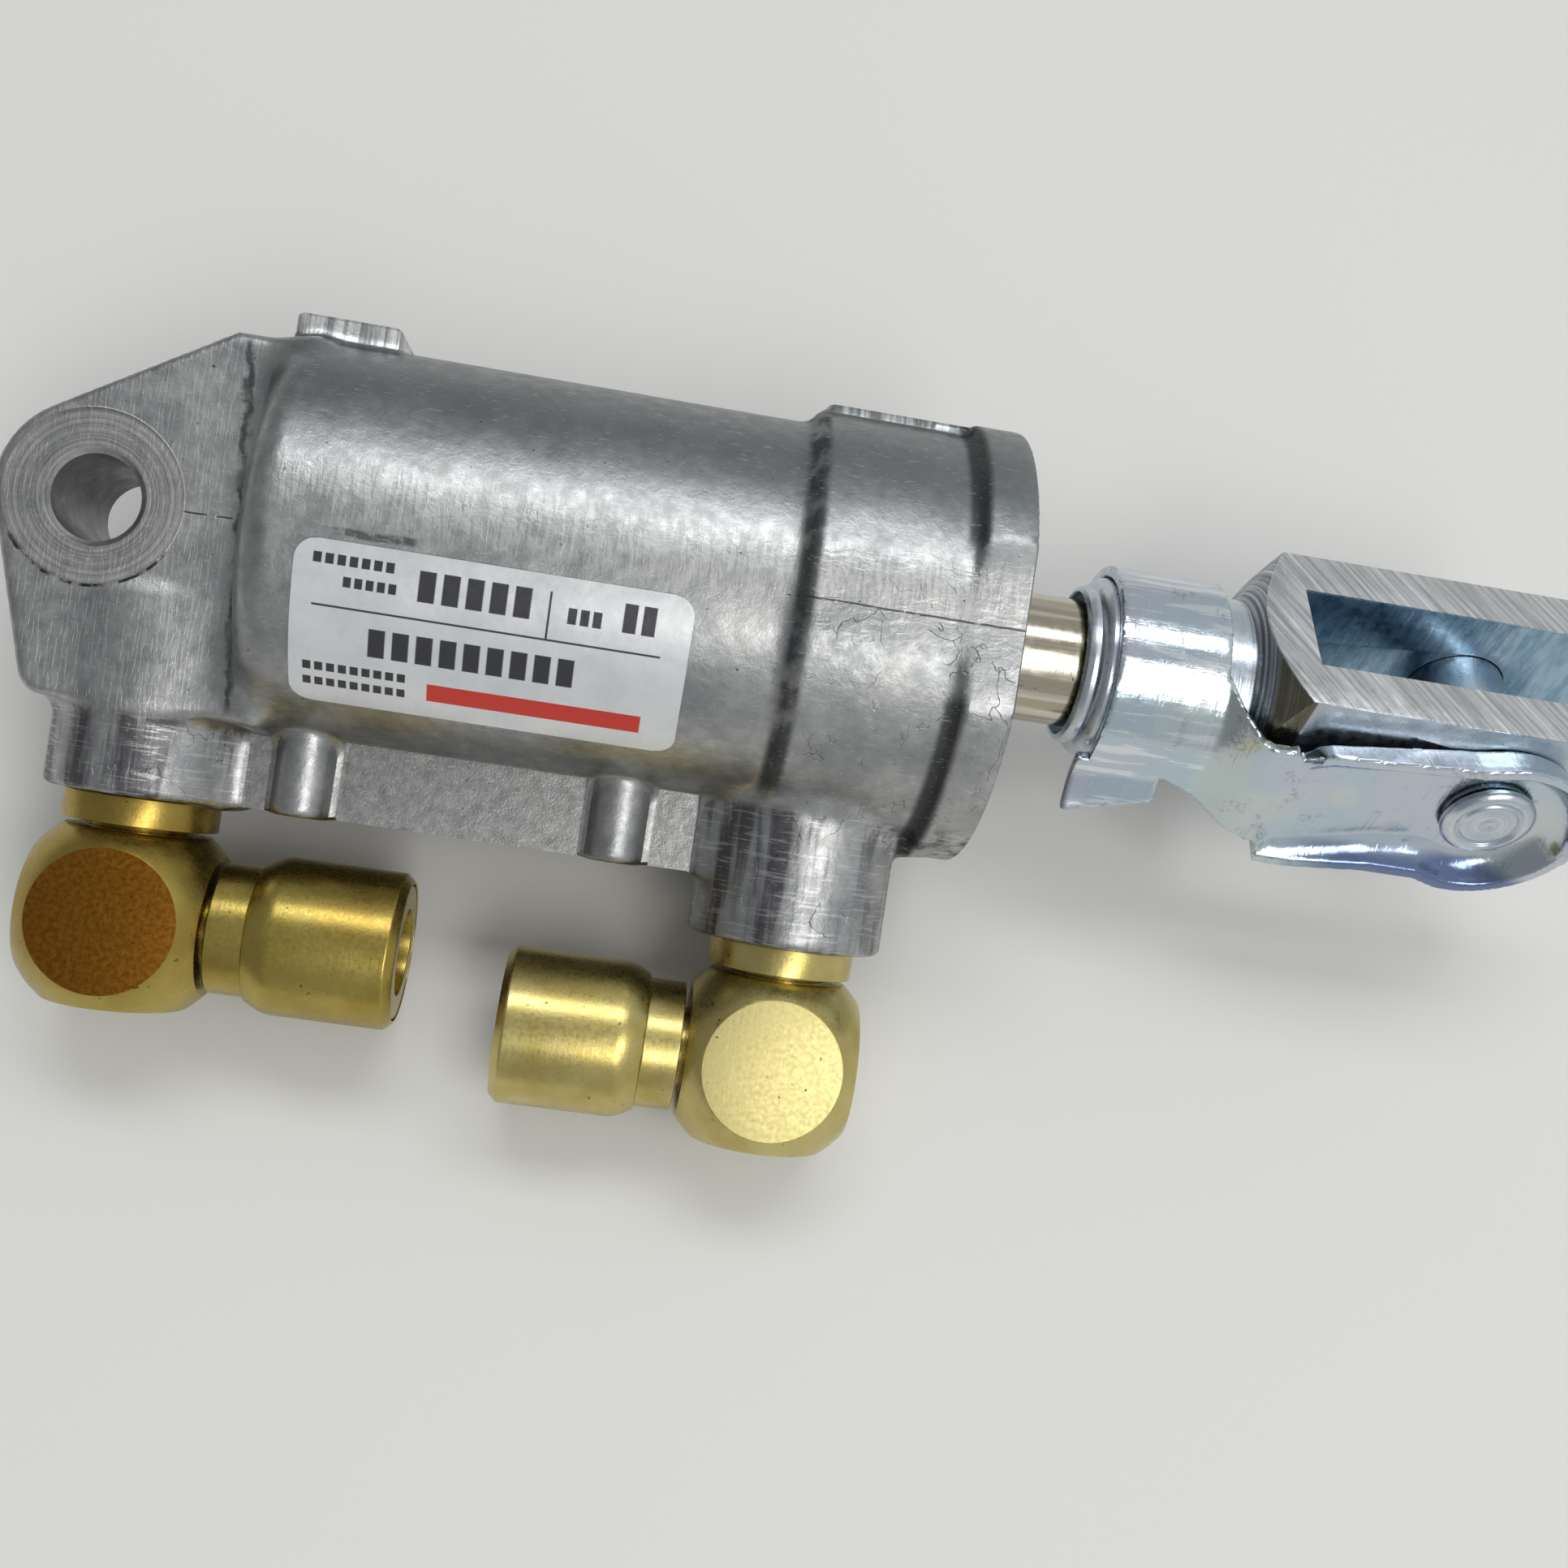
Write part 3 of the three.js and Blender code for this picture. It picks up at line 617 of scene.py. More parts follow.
def casting_material():
    m = Material("casting", 1.0, 0.4)
    x, y, z = m.split(m.place)
    depth = m.math("ABSOLUTE", z)
    wx, wy, _ = m.split(m.warped(0.5, 0.5))
    blotch = m.ramp(m.noise(0.22, 6, 0.6), 0.35, 0.68)
    mottle = m.ramp(m.noise(1.1, 6, 0.65), 0.3, 0.72)
    tone = m.mix(m.times(blotch, 0.8), (0.47, 0.475, 0.47), (0.30, 0.31, 0.315))
    tone = m.mix(m.times(mottle, 0.35), tone, (0.20, 0.205, 0.21))

    # painted shade: the upper side of the barrel is painted darker and bluer, standing in for the dim
    # room it mirrors
    shade = m.times(m.above(wy, 7.2, 3.0), m.above(x, 11.5, 0.8), 0.75)
    tone = m.mix(shade, tone, (0.19, 0.21, 0.215))

    # painted highlight: a lighter streak along the barrel and round the front collar, just above the
    # parting line, with fine scratch marks in it
    streak_highlight = m.times(m.between(wy, 0.2, 4.2, 1.0), m.above(x, 13.0, 1.0))
    hatch = m.scratches((3.2, 0.5, 0.5), 0.5)
    tone = m.mix(m.times(streak_highlight, m.ramp(hatch, 0, 1, 0.12, 0.36)), tone, (0.66, 0.655, 0.63))

    # the lug's faces: file marks across, a turned ring round the eye
    lug = m.times(m.above(depth, LUG_HALF - 0.45, 0.05), m.below(x, LUG_SIDE_END, 0.4))
    from_eye = m.distance(x, y)
    eye_ring = m.times(lug, m.below(from_eye, SPOT_R + 0.05, 0.05))
    filed = m.scratches((5.0, 0.4, 1.0), 0.56)
    tone = m.mix(m.times(lug, filed, 0.2), tone, (0.62, 0.62, 0.60))
    turning = m.noise(1.0, 3, 0.6, m.combine(m.times(from_eye, 4.2), 0.0, z))
    ring_tone = m.mix(m.ramp(turning, 0.35, 0.65), (0.48, 0.48, 0.47), (0.30, 0.30, 0.295))
    tone = m.mix(eye_ring, tone, ring_tone)
    # painted shade along the lower side of the spot face's rim, broken up by noise
    rim = m.times(lug, m.between(from_eye, SPOT_R - 0.02, SPOT_R + 0.22, 0.06))
    corner = m.below(y, -3.2, 1.2)
    spot_rim_shade = m.times(rim, corner, m.ramp(m.noise(0.9, 3), 0.4, 0.55))

    # machined faces: the web between the columns, and the pads
    milled = m.times(m.below(depth, WEB_HALF + 0.12, 0.02), m.below(y, -14.2, 0.05))
    milled = m.times(milled, m.between(x, 12.0, 46.0, 0.1))
    tone = m.mix(milled, tone, m.mix(mottle, (0.36, 0.36, 0.355), (0.25, 0.25, 0.245)))
    pad = m.times(m.above(y, 14.2, 0.1), m.below(depth, PAD_HALF + 0.1, 0.05))
    pad = m.times(pad, m.either(m.between(x, 11.2, 19.2, 0.1), m.between(x, 50.2, 61.4, 0.1)))
    chatter = m.noise(1.0, 2, 0.5, m.stretched((2.3, 0.1, 0.4)))
    tone = m.mix(m.times(pad, m.above(chatter, 0.5, 0.12), 0.8), tone, (0.75, 0.75, 0.74))

    # bands round the port bosses, darker and slightly purple
    boss = m.times(m.below(y, -14.6, 0.4), m.invert(m.between(x, 12.2, 45.6, 0.3)))
    band = m.ramp(m.noise(1.0, 3, 0.6, m.stretched((0.55, 0.05, 0.5))), 0.42, 0.6)
    tone = m.mix(m.times(boss, band, 0.9), tone, (0.10, 0.095, 0.105))
    tone = m.mix(m.times(boss, m.scratches((0.35, 4.5, 0.35), 0.6), 0.3), tone, (0.7, 0.7, 0.7))

    # painted shade in the creases: the lug's fillet, the step up to the collar, the corner before the
    # flange and the spot face's rim
    crease_x = m.math("ADD", x, m.times(y, 0.085))
    wander = m.math("ADD", crease_x, m.ramp(m.noise(0.7, 3), 0.3, 0.7, -0.25, 0.25))
    crease = m.times(m.between(wander, 9.85, 10.4, 0.22), m.between(y, -13.6, 12.6, 0.5))
    crease = m.times(crease, m.ramp(m.noise(0.4, 4), 0.3, 0.6, 0.35, 0.9))
    step = m.times(m.between(x, 49.1, 50.5, 0.3), m.ramp(m.noise(0.35, 3), 0.35, 0.55, 0.25, 0.8))
    step = m.times(step, m.above(y, -13.5, 0.8))
    groove = m.times(m.between(x, 60.5, 61.8, 0.3), m.above(m.math("ABSOLUTE", y), 5.2, 0.8), 0.8)
    groove = m.times(groove, m.above(y, -17.0, 0.3))
    crease_shade = m.either(m.times(crease, 0.9), step, groove, spot_rim_shade)
    tone = m.mix(crease_shade, tone, (0.035, 0.036, 0.04))

    # the die's parting line, hairline cracks, pits and a smear above the label
    line_y = m.math("ADD", m.times(wy, 0.35), m.times(y, 0.65))
    line = m.below(m.math("ABSOLUTE", line_y), 0.07, 0.04)
    line = m.times(line, m.either(m.above(x, 48.5, 0.3), m.between(x, 6.2, 9.6, 0.1)))
    faint = m.ramp(m.noise(0.8, 3), 0.35, 0.5)
    line = m.times(line, m.either(faint, m.between(x, 59.0, 64.8, 0.2)))
    cracks = m.below(m.cracks(0.24, m.warped(5.0, 0.4)), 0.006, 0.006)
    cracked = m.either(m.above(x, 51.0, 1.0), m.times(boss, 0.8))
    cracked = m.times(cracked, m.above(m.noise(0.3, 3), 0.52, 0.05), m.below(y, 2.0, 2.0))
    cracks = m.times(cracks, cracked)
    pits = m.times(m.specks(1.9, 0.76), 0.8)
    smear = m.times(m.between(wx, 18.2, 23.8, 0.25), m.between(wy, -0.65, -0.1, 0.12))
    smear = m.times(smear, m.above(m.noise(1.6, 2), 0.42, 0.1), 0.7)
    marks = m.either(m.times(line, 0.9), m.times(cracks, 0.25), pits, smear)
    tone = m.mix(marks, tone, (0.05, 0.05, 0.05))

    fine = m.scratches((1.2, 7.0, 2.0), 0.66, (0, 0, math.radians(24)))
    tone = m.mix(m.times(fine, 0.28), tone, (0.70, 0.70, 0.69))
    m.colour(tone)
    rough = m.ramp(m.noise(0.8, 5), 0.3, 0.7, 0.33, 0.46)
    m.roughness(m.math("ADD", rough, m.times(crease_shade, 0.25)))
    scallop = m.noise(6.0, 2, 0.4)
    wrinkle = m.noise(1.0, 3, 0.5, m.stretched((0.5, 2.2, 2.2), m.warped(1.5, 0.5)))
    wrinkled = m.times(m.above(x, 49.8, 0.5), m.between(y, -3.0, 4.5, 0.8))
    m.bump(
        (0.05, m.noise(0.7, 5, 0.6)),
        (0.012, m.noise(5.0, 4, 0.6)),
        (0.012, m.times(scallop, milled)),
        (0.05, m.times(wrinkle, wrinkled)),
        (0.03, m.times(turning, eye_ring)),
        (0.005, m.times(filed, lug)),
        (0.005, m.times(hatch, streak_highlight)),
        (-0.03, m.either(line, cracks)),
        (0.03, m.times(chatter, pad)),
    )
    return m.material


def brass_material(name, light, dark, tarnish, face_catches_light):
    """Turned brass; tarnish browns it in patches. The last argument paints the flat face light, a
    painted reflection of the lamp, instead of dark brown, which is partly its own colour and partly
    painted shade.
    """
    m = Material(name, 1.0, 0.3)
    _, _, z = m.split(m.place)
    blotch = m.ramp(m.noise(0.3, 4), 0.3, 0.75)
    tone = m.mix(blotch, light, dark)
    brown = m.times(m.ramp(m.noise(0.12, 3, 0.5), 0.35, 0.7), tarnish)
    tone = m.mix(brown, tone, (0.30, 0.18, 0.035))
    face = m.above(z, ELBOW_HALF - 0.03, 0.02)
    grain = m.ramp(m.noise(2.5, 6, 0.7), 0.35, 0.65)
    # the flat face's two colours: a light one as a painted reflection of the lamp, a dark brown one
    # that is partly the brass's own colour and partly painted shade
    face_shade, face_light = (0.18, 0.062, 0.004), (0.58, 0.52, 0.24)
    face_tone = m.mix(m.times(grain, 0.25), face_light if face_catches_light else face_shade, (0.46, 0.28, 0.06))
    tone = m.mix(face, tone, face_tone)
    tone = m.mix(m.times(m.specks(1.5, 0.74), 0.85), tone, (0.06, 0.04, 0.02))
    m.colour(tone)
    rough = m.ramp(m.noise(3.0, 5), 0.3, 0.7, 0.24, 0.34)
    m.roughness(m.math("ADD", rough, m.times(face, 0.15)))
    m.bump(
        (0.006, m.noise(6.0, 4, 0.6)),
        (0.006, m.noise(1.0, 3, 0.6, m.stretched((5.0, 0.35, 0.35)))),
        (0.012, m.noise(0.5, 3)),
    )
    return m.material


def zinc_material():
    m = Material("zinc", 1.0, 0.28)
    local = m.stretched((1, 1, 1), turn=(FORK_TURN, 0, 0))
    x, y, z = m.split(local)
    blotch = m.ramp(m.noise(0.2, 4), 0.35, 0.68)
    tone = m.mix(blotch, (0.60, 0.66, 0.70), (0.52, 0.58, 0.66))
    flat = m.times(m.above(m.math("ABSOLUTE", z), FORK_HALF - 0.1, 0.04), m.above(x, 84.0, 0.2))
    strokes = m.stretched((1, 1, 1), local, (0, 0, math.radians(60)))
    milling = m.noise(1.0, 3, 0.65, m.stretched((0.10, 2.6, 0.1), strokes))
    tone = m.mix(flat, tone, m.mix(m.ramp(milling, 0.35, 0.6), (0.46, 0.47, 0.47), (0.70, 0.72, 0.72)))
    tone = m.mix(m.times(flat, m.above(milling, 0.64, 0.03)), tone, (0.95, 0.96, 0.96))
    # painted shade: the slot's inner faces are painted a darker, bluer tone
    slot = m.below(m.math("ABSOLUTE", y), SLOT_HALF + 0.04, 0.02)
    slot = m.times(slot, m.above(x, SLOT_START - 0.1, 0.05))
    slot = m.times(slot, m.below(m.math("ABSOLUTE", z), FORK_HALF - 0.12, 0.06))
    deep = m.noise(1.0, 4, 0.6, m.stretched((1.6, 0.6, 0.35), local))
    tone = m.mix(slot, tone, m.mix(m.ramp(deep, 0.35, 0.65), (0.22, 0.35, 0.46), (0.36, 0.49, 0.60)))
    neck = m.below(x, 83.0, 0.1)
    rings = m.noise(1.0, 3, 0.7, m.combine(m.times(x, 3.4), 0.0, 0.0))
    # painted shade: the cone under the clip's plate is painted near black, broken up by the turning
    # rings
    cone_shade = m.times(m.between(x, 84.7, 88.4, 0.15), m.invert(flat))
    tone = m.mix(m.times(cone_shade, m.ramp(rings, 0.35, 0.6)), tone, (0.10, 0.11, 0.13))
    # painted shade, dark brown, on the side of the cone facet that lies under the plate
    facet_shade = m.times(m.between(x, 86.2, 88.4, 0.15), m.below(y, 1.0, 0.8), m.invert(flat))
    tone = m.mix(m.times(facet_shade, 0.8), tone, (0.15, 0.13, 0.07))
    m.colour(tone)
    m.roughness(m.ramp(m.noise(1.1, 5), 0.3, 0.7, 0.2, 0.36))
    turned = m.times(m.between(x, 82.6, 87.8, 0.1), m.invert(slot))
    m.bump(
        (0.03, m.times(milling, flat)),
        (0.06, m.times(rings, m.either(turned, m.times(neck, 0.3)))),
        (0.05, m.times(deep, slot)),
        (0.006, m.noise(7.0, 4, 0.6)),
    )
    return m.material


def clip_material():
    m = Material("clip", 1.0, 0.24)
    x, y, z = m.split(m.stretched((1, 1, 1), turn=(FORK_TURN, 0, 0)))
    hue = m.noise(0.12, 3, 0.5, m.warped(2.0, 0.2))
    tone = m.mix(m.ramp(hue, 0.4, 0.6), (0.50, 0.60, 0.66), (0.56, 0.59, 0.67))
    tone = m.mix(m.times(m.ramp(m.noise(0.1, 2), 0.5, 0.6), 0.5), tone, (0.62, 0.68, 0.62))
    # painted highlight: bright streaks along the band round the neck, for the lamps mirrored in it
    band = m.noise(1.0, 4, 0.65, m.stretched((0.12, 1.3, 1.3)))
    tone = m.mix(m.times(m.below(x, 83.0, 0.5), m.ramp(band, 0.52, 0.6), 0.6), tone, (0.86, 0.88, 0.9))
    smudge = m.times(m.above(m.noise(0.35, 5, 0.7), 0.60, 0.05), m.above(m.noise(2.5, 3), 0.5, 0.05))
    tone = m.mix(m.times(smudge, 0.5), tone, (0.22, 0.22, 0.22))
    # painted shade: the lower part of the tray's rim is painted dark blue
    rim = m.times(m.below(y, -9.2, 0.15), m.below(z, -5.0, 0.6), m.above(x, 93.0, 3.0))
    tone = m.mix(m.times(rim, 0.85), tone, (0.11, 0.16, 0.33))
    m.colour(tone)
    m.roughness(m.ramp(m.noise(0.7, 5), 0.3, 0.7, 0.12, 0.22))
    crease = m.scratches((2.0, 0.2, 0.2), 0.6, (0, 0, math.radians(-25)))
    m.bump(
        (0.05, m.noise(0.4, 4)),
        (0.02, m.times(band, m.below(x, 83.5, 0.5))),
        (0.006, m.noise(6.0, 4, 0.6)),
        (0.006, crease),
    )
    return m.material


def pin_material():
    m = Material("pin", 1.0, 0.26)
    x, y, z = m.split(m.stretched((1, 1, 1), turn=(FORK_TURN, 0, 0)))
    across = m.math("SUBTRACT", x, PIN_X)
    radius = m.distance(across, z)
    head = m.below(y, -9.2, 0.1)
    rings = m.noise(1.0, 3, 0.6, m.combine(m.times(radius, 2.4), 0.0, 0.0))
    tone = m.mix(m.ramp(rings, 0.35, 0.65), (0.68, 0.71, 0.73), (0.50, 0.55, 0.60))
    tone = m.mix(m.ramp(m.noise(0.3, 4), 0.4, 0.7), tone, (0.44, 0.54, 0.64))
    m.colour(tone)
    m.roughness(m.ramp(m.noise(1.2, 4), 0.3, 0.7, 0.2, 0.34))
    m.bump((0.10, m.times(rings, head)), (0.01, m.noise(5.0, 4)))
    return m.material


def rod_material():
    m = Material("rod", 1.0, 0.16)
    # painted reflection: light and dark bands along the rod in a warm tone, for the table and room
    # mirrored in it
    band = m.noise(1.0, 4, 0.6, m.stretched((0.03, 1.1, 1.1)))
    tone = m.mix(m.ramp(band, 0.4, 0.6), (0.66, 0.62, 0.52), (0.42, 0.38, 0.29))
    tone = m.mix(m.times(m.specks(1.6, 0.72), 0.85), tone, (0.05, 0.045, 0.04))
    m.colour(tone)
    m.roughness(m.ramp(m.noise(1.5, 5), 0.3, 0.7, 0.12, 0.24))
    m.bump((0.006, m.noise(1.0, 3, 0.6, m.stretched((4.0, 0.3, 0.3)))), (0.01, m.noise(0.6, 3)))
    return m.material


def turned_material(name, light, dark, roughness):
    """A turned metal with fine rings square to the rod's axis."""
    m = Material(name, 1.0, roughness)
    rings = m.noise(1.0, 3, 0.7, m.stretched((5.0, 0.15, 0.15)))
    tone = m.mix(m.ramp(rings, 0.35, 0.65), light, dark)
    m.colour(m.mix(m.times(m.specks(1.4, 0.74), 0.5), tone, (0.1, 0.1, 0.1)))
    m.roughness(m.ramp(m.noise(1.0, 5), 0.3, 0.7, roughness - 0.06, roughness + 0.08))
    m.bump((0.02, rings), (0.006, m.noise(6.0, 4)))
    return m.material


def soft_material(name, light, dark, roughness):
    m = Material(name, 0.0, roughness)
    m.colour(m.mix(m.ramp(m.noise(0.9, 5), 0.35, 0.65), light, dark))
    m.roughness(m.ramp(m.noise(2.0, 5), 0.3, 0.7, roughness - 0.1, roughness + 0.1))
    m.bump((0.03, m.noise(2.5, 5, 0.6)))
    return m.material


# the label: its span along the rod, its sweep round the barrel, the radius of its middle
LABEL = {"start": 15.8, "end": 42.6, "top_deg": -5, "bottom_deg": -52, "r": 15.02, "corner": 1.5}
# printed rows of blocks: start along the label, blocks, pitch, upper and lower edge
PRINT_ROWS = (
    (1.2, 7, 0.8, 0.9, 1.6),
    (3.3, 5, 0.75, 2.3, 3.0),
    (8.2, 5, 1.6, 1.1, 3.2),
    (18.3, 3, 0.85, 2.0, 3.1),
    (22.0, 2, 1.3, 1.1, 3.1),
    (5.2, 9, 1.6, 5.6, 7.7),
    (0.9, 9, 0.8, 8.7, 9.4),
    (0.9, 9, 0.8, 10.0, 10.7),
)
# printed rules and stripe: start and end along the label, upper and lower edge
PRINT_RULES = ((1.4, 24.9, 4.35, 4.5), (17.0, 17.15, 1.1, 4.4))
PRINT_STRIPE = (9.4, 24.2, 9.2, 10.7)


def label_material():
    m = Material("label", 0.0, 0.38)
    x, y, z = m.split(m.place)
    along = m.math("SUBTRACT", x, LABEL["start"])
    angle = m.math("ARCTAN2", m.times(y, -1.0), z)
    top = math.radians(-LABEL["top_deg"]) * LABEL["r"]
    down = m.math("SUBTRACT", m.times(angle, LABEL["r"]), top)

    def patch(u0, u1, v0, v1):
        return m.times(m.between(along, u0, u1, 0.03), m.between(down, v0, v1, 0.03))

    black = []
    for start, count, pitch, upper, lower in PRINT_ROWS:
        turn = m.math("FRACT", m.math("DIVIDE", m.math("SUBTRACT", along, start), pitch))
        row = patch(start, start + count * pitch, upper, lower)
        black.append(m.times(row, m.between(turn, 0.06, 0.76, 0.03)))
    black += [patch(*rule) for rule in PRINT_RULES]
    paper = m.mix(m.ramp(m.noise(0.25, 4), 0.35, 0.7), (0.74, 0.75, 0.76), (0.66, 0.68, 0.70))
    tone = m.mix(m.either(*black), paper, (0.05, 0.05, 0.055))
    tone = m.mix(patch(*PRINT_STRIPE), tone, (0.62, 0.05, 0.035))
    m.colour(tone)
    m.shader.inputs["Metallic"].default_value = 0.35
    m.roughness(m.ramp(m.noise(1.5, 4), 0.3, 0.7, 0.26, 0.36))
    m.bump((0.012, m.noise(1.2, 4)), (0.02, m.noise(0.3, 2)))
    return m.material


MATERIALS = {
    "casting": casting_material(),
    "rear_brass": brass_material("rear_brass", (0.50, 0.40, 0.11), (0.40, 0.31, 0.07), 0.6, False),
    "front_brass": brass_material("front_brass", (0.62, 0.53, 0.22), (0.50, 0.41, 0.13), 0.25, True),
    "zinc": zinc_material(),
    "clip": clip_material(),
    "pin": pin_material(),
    "rod": rod_material(),
    "aluminium": turned_material("aluminium", (0.74, 0.75, 0.76), (0.55, 0.56, 0.58), 0.34),
    "spring": turned_material("spring", (0.42, 0.43, 0.46), (0.25, 0.26, 0.28), 0.34),
    "nut": turned_material("nut", (0.62, 0.66, 0.68), (0.48, 0.52, 0.56), 0.3),
    "rubber": soft_material("rubber", (0.035, 0.035, 0.038), (0.02, 0.02, 0.02), 0.55),
    "band": soft_material("band", (0.12, 0.28, 0.24), (0.09, 0.22, 0.19), 0.5),
    "label": label_material(),
}

# ---- body casting


# the lug seen along the eye's axis, from the barrel round the eye to the rear port
LUG_OUTLINE = [
    (13.2, -14.3), (13.2, 13.2), (8.0, 13.2),
    *arc_points(0, 0, 7.0, 121, 180, 10),
    (-6.6, -1.8),
    *arc_points(-1.6, -12.4, 1.9, 198, 270, 5),
]


def casting_field(p):
    """Signed distance to the casting before it is machined.

    The last number of each shape is its edge round, the last number of each smooth_min its fillet.
    """
    x, y, z = p.T
    radial = np.hypot(y, z)
    barrel = rounded_rod(radial, x, BARREL_R, *BARREL_SPAN, 2.5)
    collar = rounded_rod(radial, x, COLLAR_R, *COLLAR_SPAN, 0.4)
    body = smooth_min(barrel, collar, 1.6)
    flange = rounded_rod(radial, x, FLANGE_R, *FLANGE_SPAN, 0.45)
    flange = smooth_max(flange, np.abs(z) - COLLAR_R, 0.3)
    body = smooth_min(body, flange, 0.9)
    lug = extruded(polygon_distance(x, y, LUG_OUTLINE), z, -LUG_HALF, LUG_HALF, 0.7)
    body = smooth_min(body, lug, 2.4)
    web = rounded_box(p, [3, WEB_END, -WEB_HALF], [54, -12, WEB_HALF], 0.3)
    body = smooth_min(body, web, 1.4)
    for column_x in COLUMN_XS:
        column = np.hypot(x - column_x, np.maximum(np.abs(z) - WEB_HALF + 0.2, 0))
        column = rounded_rod(column, y, COLUMN_R, WEB_END - 0.1, -12.6, 0.5)
        body = smooth_min(body, column, 0.45)
    for port in PORTS.values():
        boss = rounded_rod(np.hypot(x - port["x"], z), y, port["boss_r"], port["boss_end"], -6, 0.5)
        body = smooth_min(body, boss, 1.6)
    for (start, end), fillet in zip(PAD_SPANS, (0.6, 0.5)):
        pad = rounded_box(p, [start, 10, -PAD_HALF], [end, PAD_TOP, PAD_HALF], 0.3)
        body = smooth_min(body, pad, fillet)
    gusset = rounded_box(p, [57, -16.3, -2.5], [62.6, -12, 2.5], 0.4)
    body = smooth_min(body, gusset, 1.4)
    return smooth_max(body, np.abs(z) - COLLAR_R + 0.02, 0.2)


def eye_cutter():
    """The eye's hole with its chamfers, and the spot face turned round it on both sides."""
    past = LUG_HALF + 1.9
    spot = LUG_HALF - SPOT_DEPTH
    rim = EYE_R + 0.45
    half = [(spot - 0.4, EYE_R), (spot, rim), (spot, SPOT_R), (past, SPOT_R), (past, 0)]
    profile = [(-along, radius) for along, radius in reversed(half)] + half
    vertices, faces = lathe(profile, False, 0, (0, 0, 0), 128)
    upright = np.stack([vertices[:, 2], vertices[:, 1], vertices[:, 0]], 1)
    cutter = make_object("eye_cutter", upright, faces)
    weld(cutter)
    return cutter


def bore_cutter():
    groove_start, groove_end = RING_GROOVE_SPAN
    mouth = FLANGE_SPAN[1]
    profile = [
        (13.5, 0), (13.5, BORE_R), (groove_start, BORE_R), (groove_start, RING_GROOVE_R),
        (groove_end, RING_GROOVE_R), (groove_end, BORE_R), (mouth - 0.3, BORE_R),
        (mouth + 0.1, BORE_R + 0.4), (mouth + 1.7, BORE_R + 0.4), (mouth + 1.7, 0),
    ]
    return make_lathe("bore_cutter", profile, False, 0, segments=128)


def port_cutter(name, port):
    end = port["boss_end"]
    bottom = end + 8.5
    profile = [
        (end - 2, 0), (end - 2, PORT_HOLE_R + 0.25), (end, PORT_HOLE_R + 0.25),
        (end + 0.3, PORT_HOLE_R), (end + 6.6, PORT_HOLE_R), (end + 7.5, FEED_R), (bottom, FEED_R),
        (bottom, 0),
    ]
    return make_lathe(name, profile, False, 1, (port["x"], 0, 0), 64)


def milling_cutters():
    """Boxes that mill the web flat on both sides, between the columns."""
    cutters = []
    for side in (-1, 1):
        for start, end in MILLED_SPANS:
            zs = sorted((side * (WEB_HALF - 0.3), side * (WEB_HALF + 0.9)))
            cutters.append(make_box("mill_cutter", (start, -22, zs[0]), (end, -14.5, zs[1])))
    return cutters


def build_casting():
    obj = mesh_field("casting_look", casting_field, (-9, -27, -19), (67, 19, 19), 0.42)
    cutters = [eye_cutter(), bore_cutter()]
    cutters += [port_cutter(name, port) for name, port in PORTS.items()]
    cutters += milling_cutters()
    boolean(obj, join_objects("cutters", cutters), "DIFFERENCE")
    finish_piece(obj, "body_casting", "cylinder", MATERIALS["casting"], 38)


# ---- elbows


def build_elbow_body(name, port):
    """A ball cut to a cube, with a hole for the stud and one for the sleeve."""
    body_low, body_high = part_box(name + "_body")
    centre = (body_low + body_high) / 2
    half = np.minimum((body_high - body_low) / 2, ELBOW_HALF)
    ball = make_lathe("ball", arc_points(0, 0, ELBOW_R, 180, 0, 64), False, 0, centre, 128)
    boolean(ball, make_box("cube", centre - half, centre + half), "INTERSECT")
    stud_hole = [(0.6, 0), (0.6, STUD_HOLE_R), (8, STUD_HOLE_R), (8, 0)]
    boolean(ball, make_lathe("stud_hole", stud_hole, False, 1, centre, 64), "DIFFERENCE")
    start, end = sorted((port["along"] * 3.6, port["along"] * 9))
    sleeve_hole = [(start, 0), (start, SLEEVE_HOLE_R), (end, SLEEVE_HOLE_R), (end, 0)]
    boolean(ball, make_lathe("sleeve_hole", sleeve_hole, False, 0, centre, 64), "DIFFERENCE")
    bevel(ball, 0.1)
    ball.name = name + "_body_look"
    finish_piece(ball, name + "_body", name, MATERIALS[port["brass"]])


def build_elbow(name, port):
    brass = MATERIALS[port["brass"]]
    build_elbow_body(name, port)
    turned_piece(name + "_stud", "cylinder", 1, brass, 0.12)
    turned_piece(name + "_stud_seal", "cylinder", 1, MATERIALS["rubber"], 0.5)

    def shoulder(point):
        out = abs(point[0] - port["x"])
        return 1.3 if 9.0 < out < 12.5 and point[1] > 4.5 else 0.12

    turned_piece(name + "_sleeve", name, 0, brass, corner=shoulder)
    turned_piece(name + "_tube_seal", name, 0, MATERIALS["rubber"], 0.4)
    turned_piece(name + "_grab_ring", name, 0, MATERIALS["spring"], 0.05)
    turned_piece(name + "_retainer", name, 0, brass, 0.12)


# ---- fork and clip


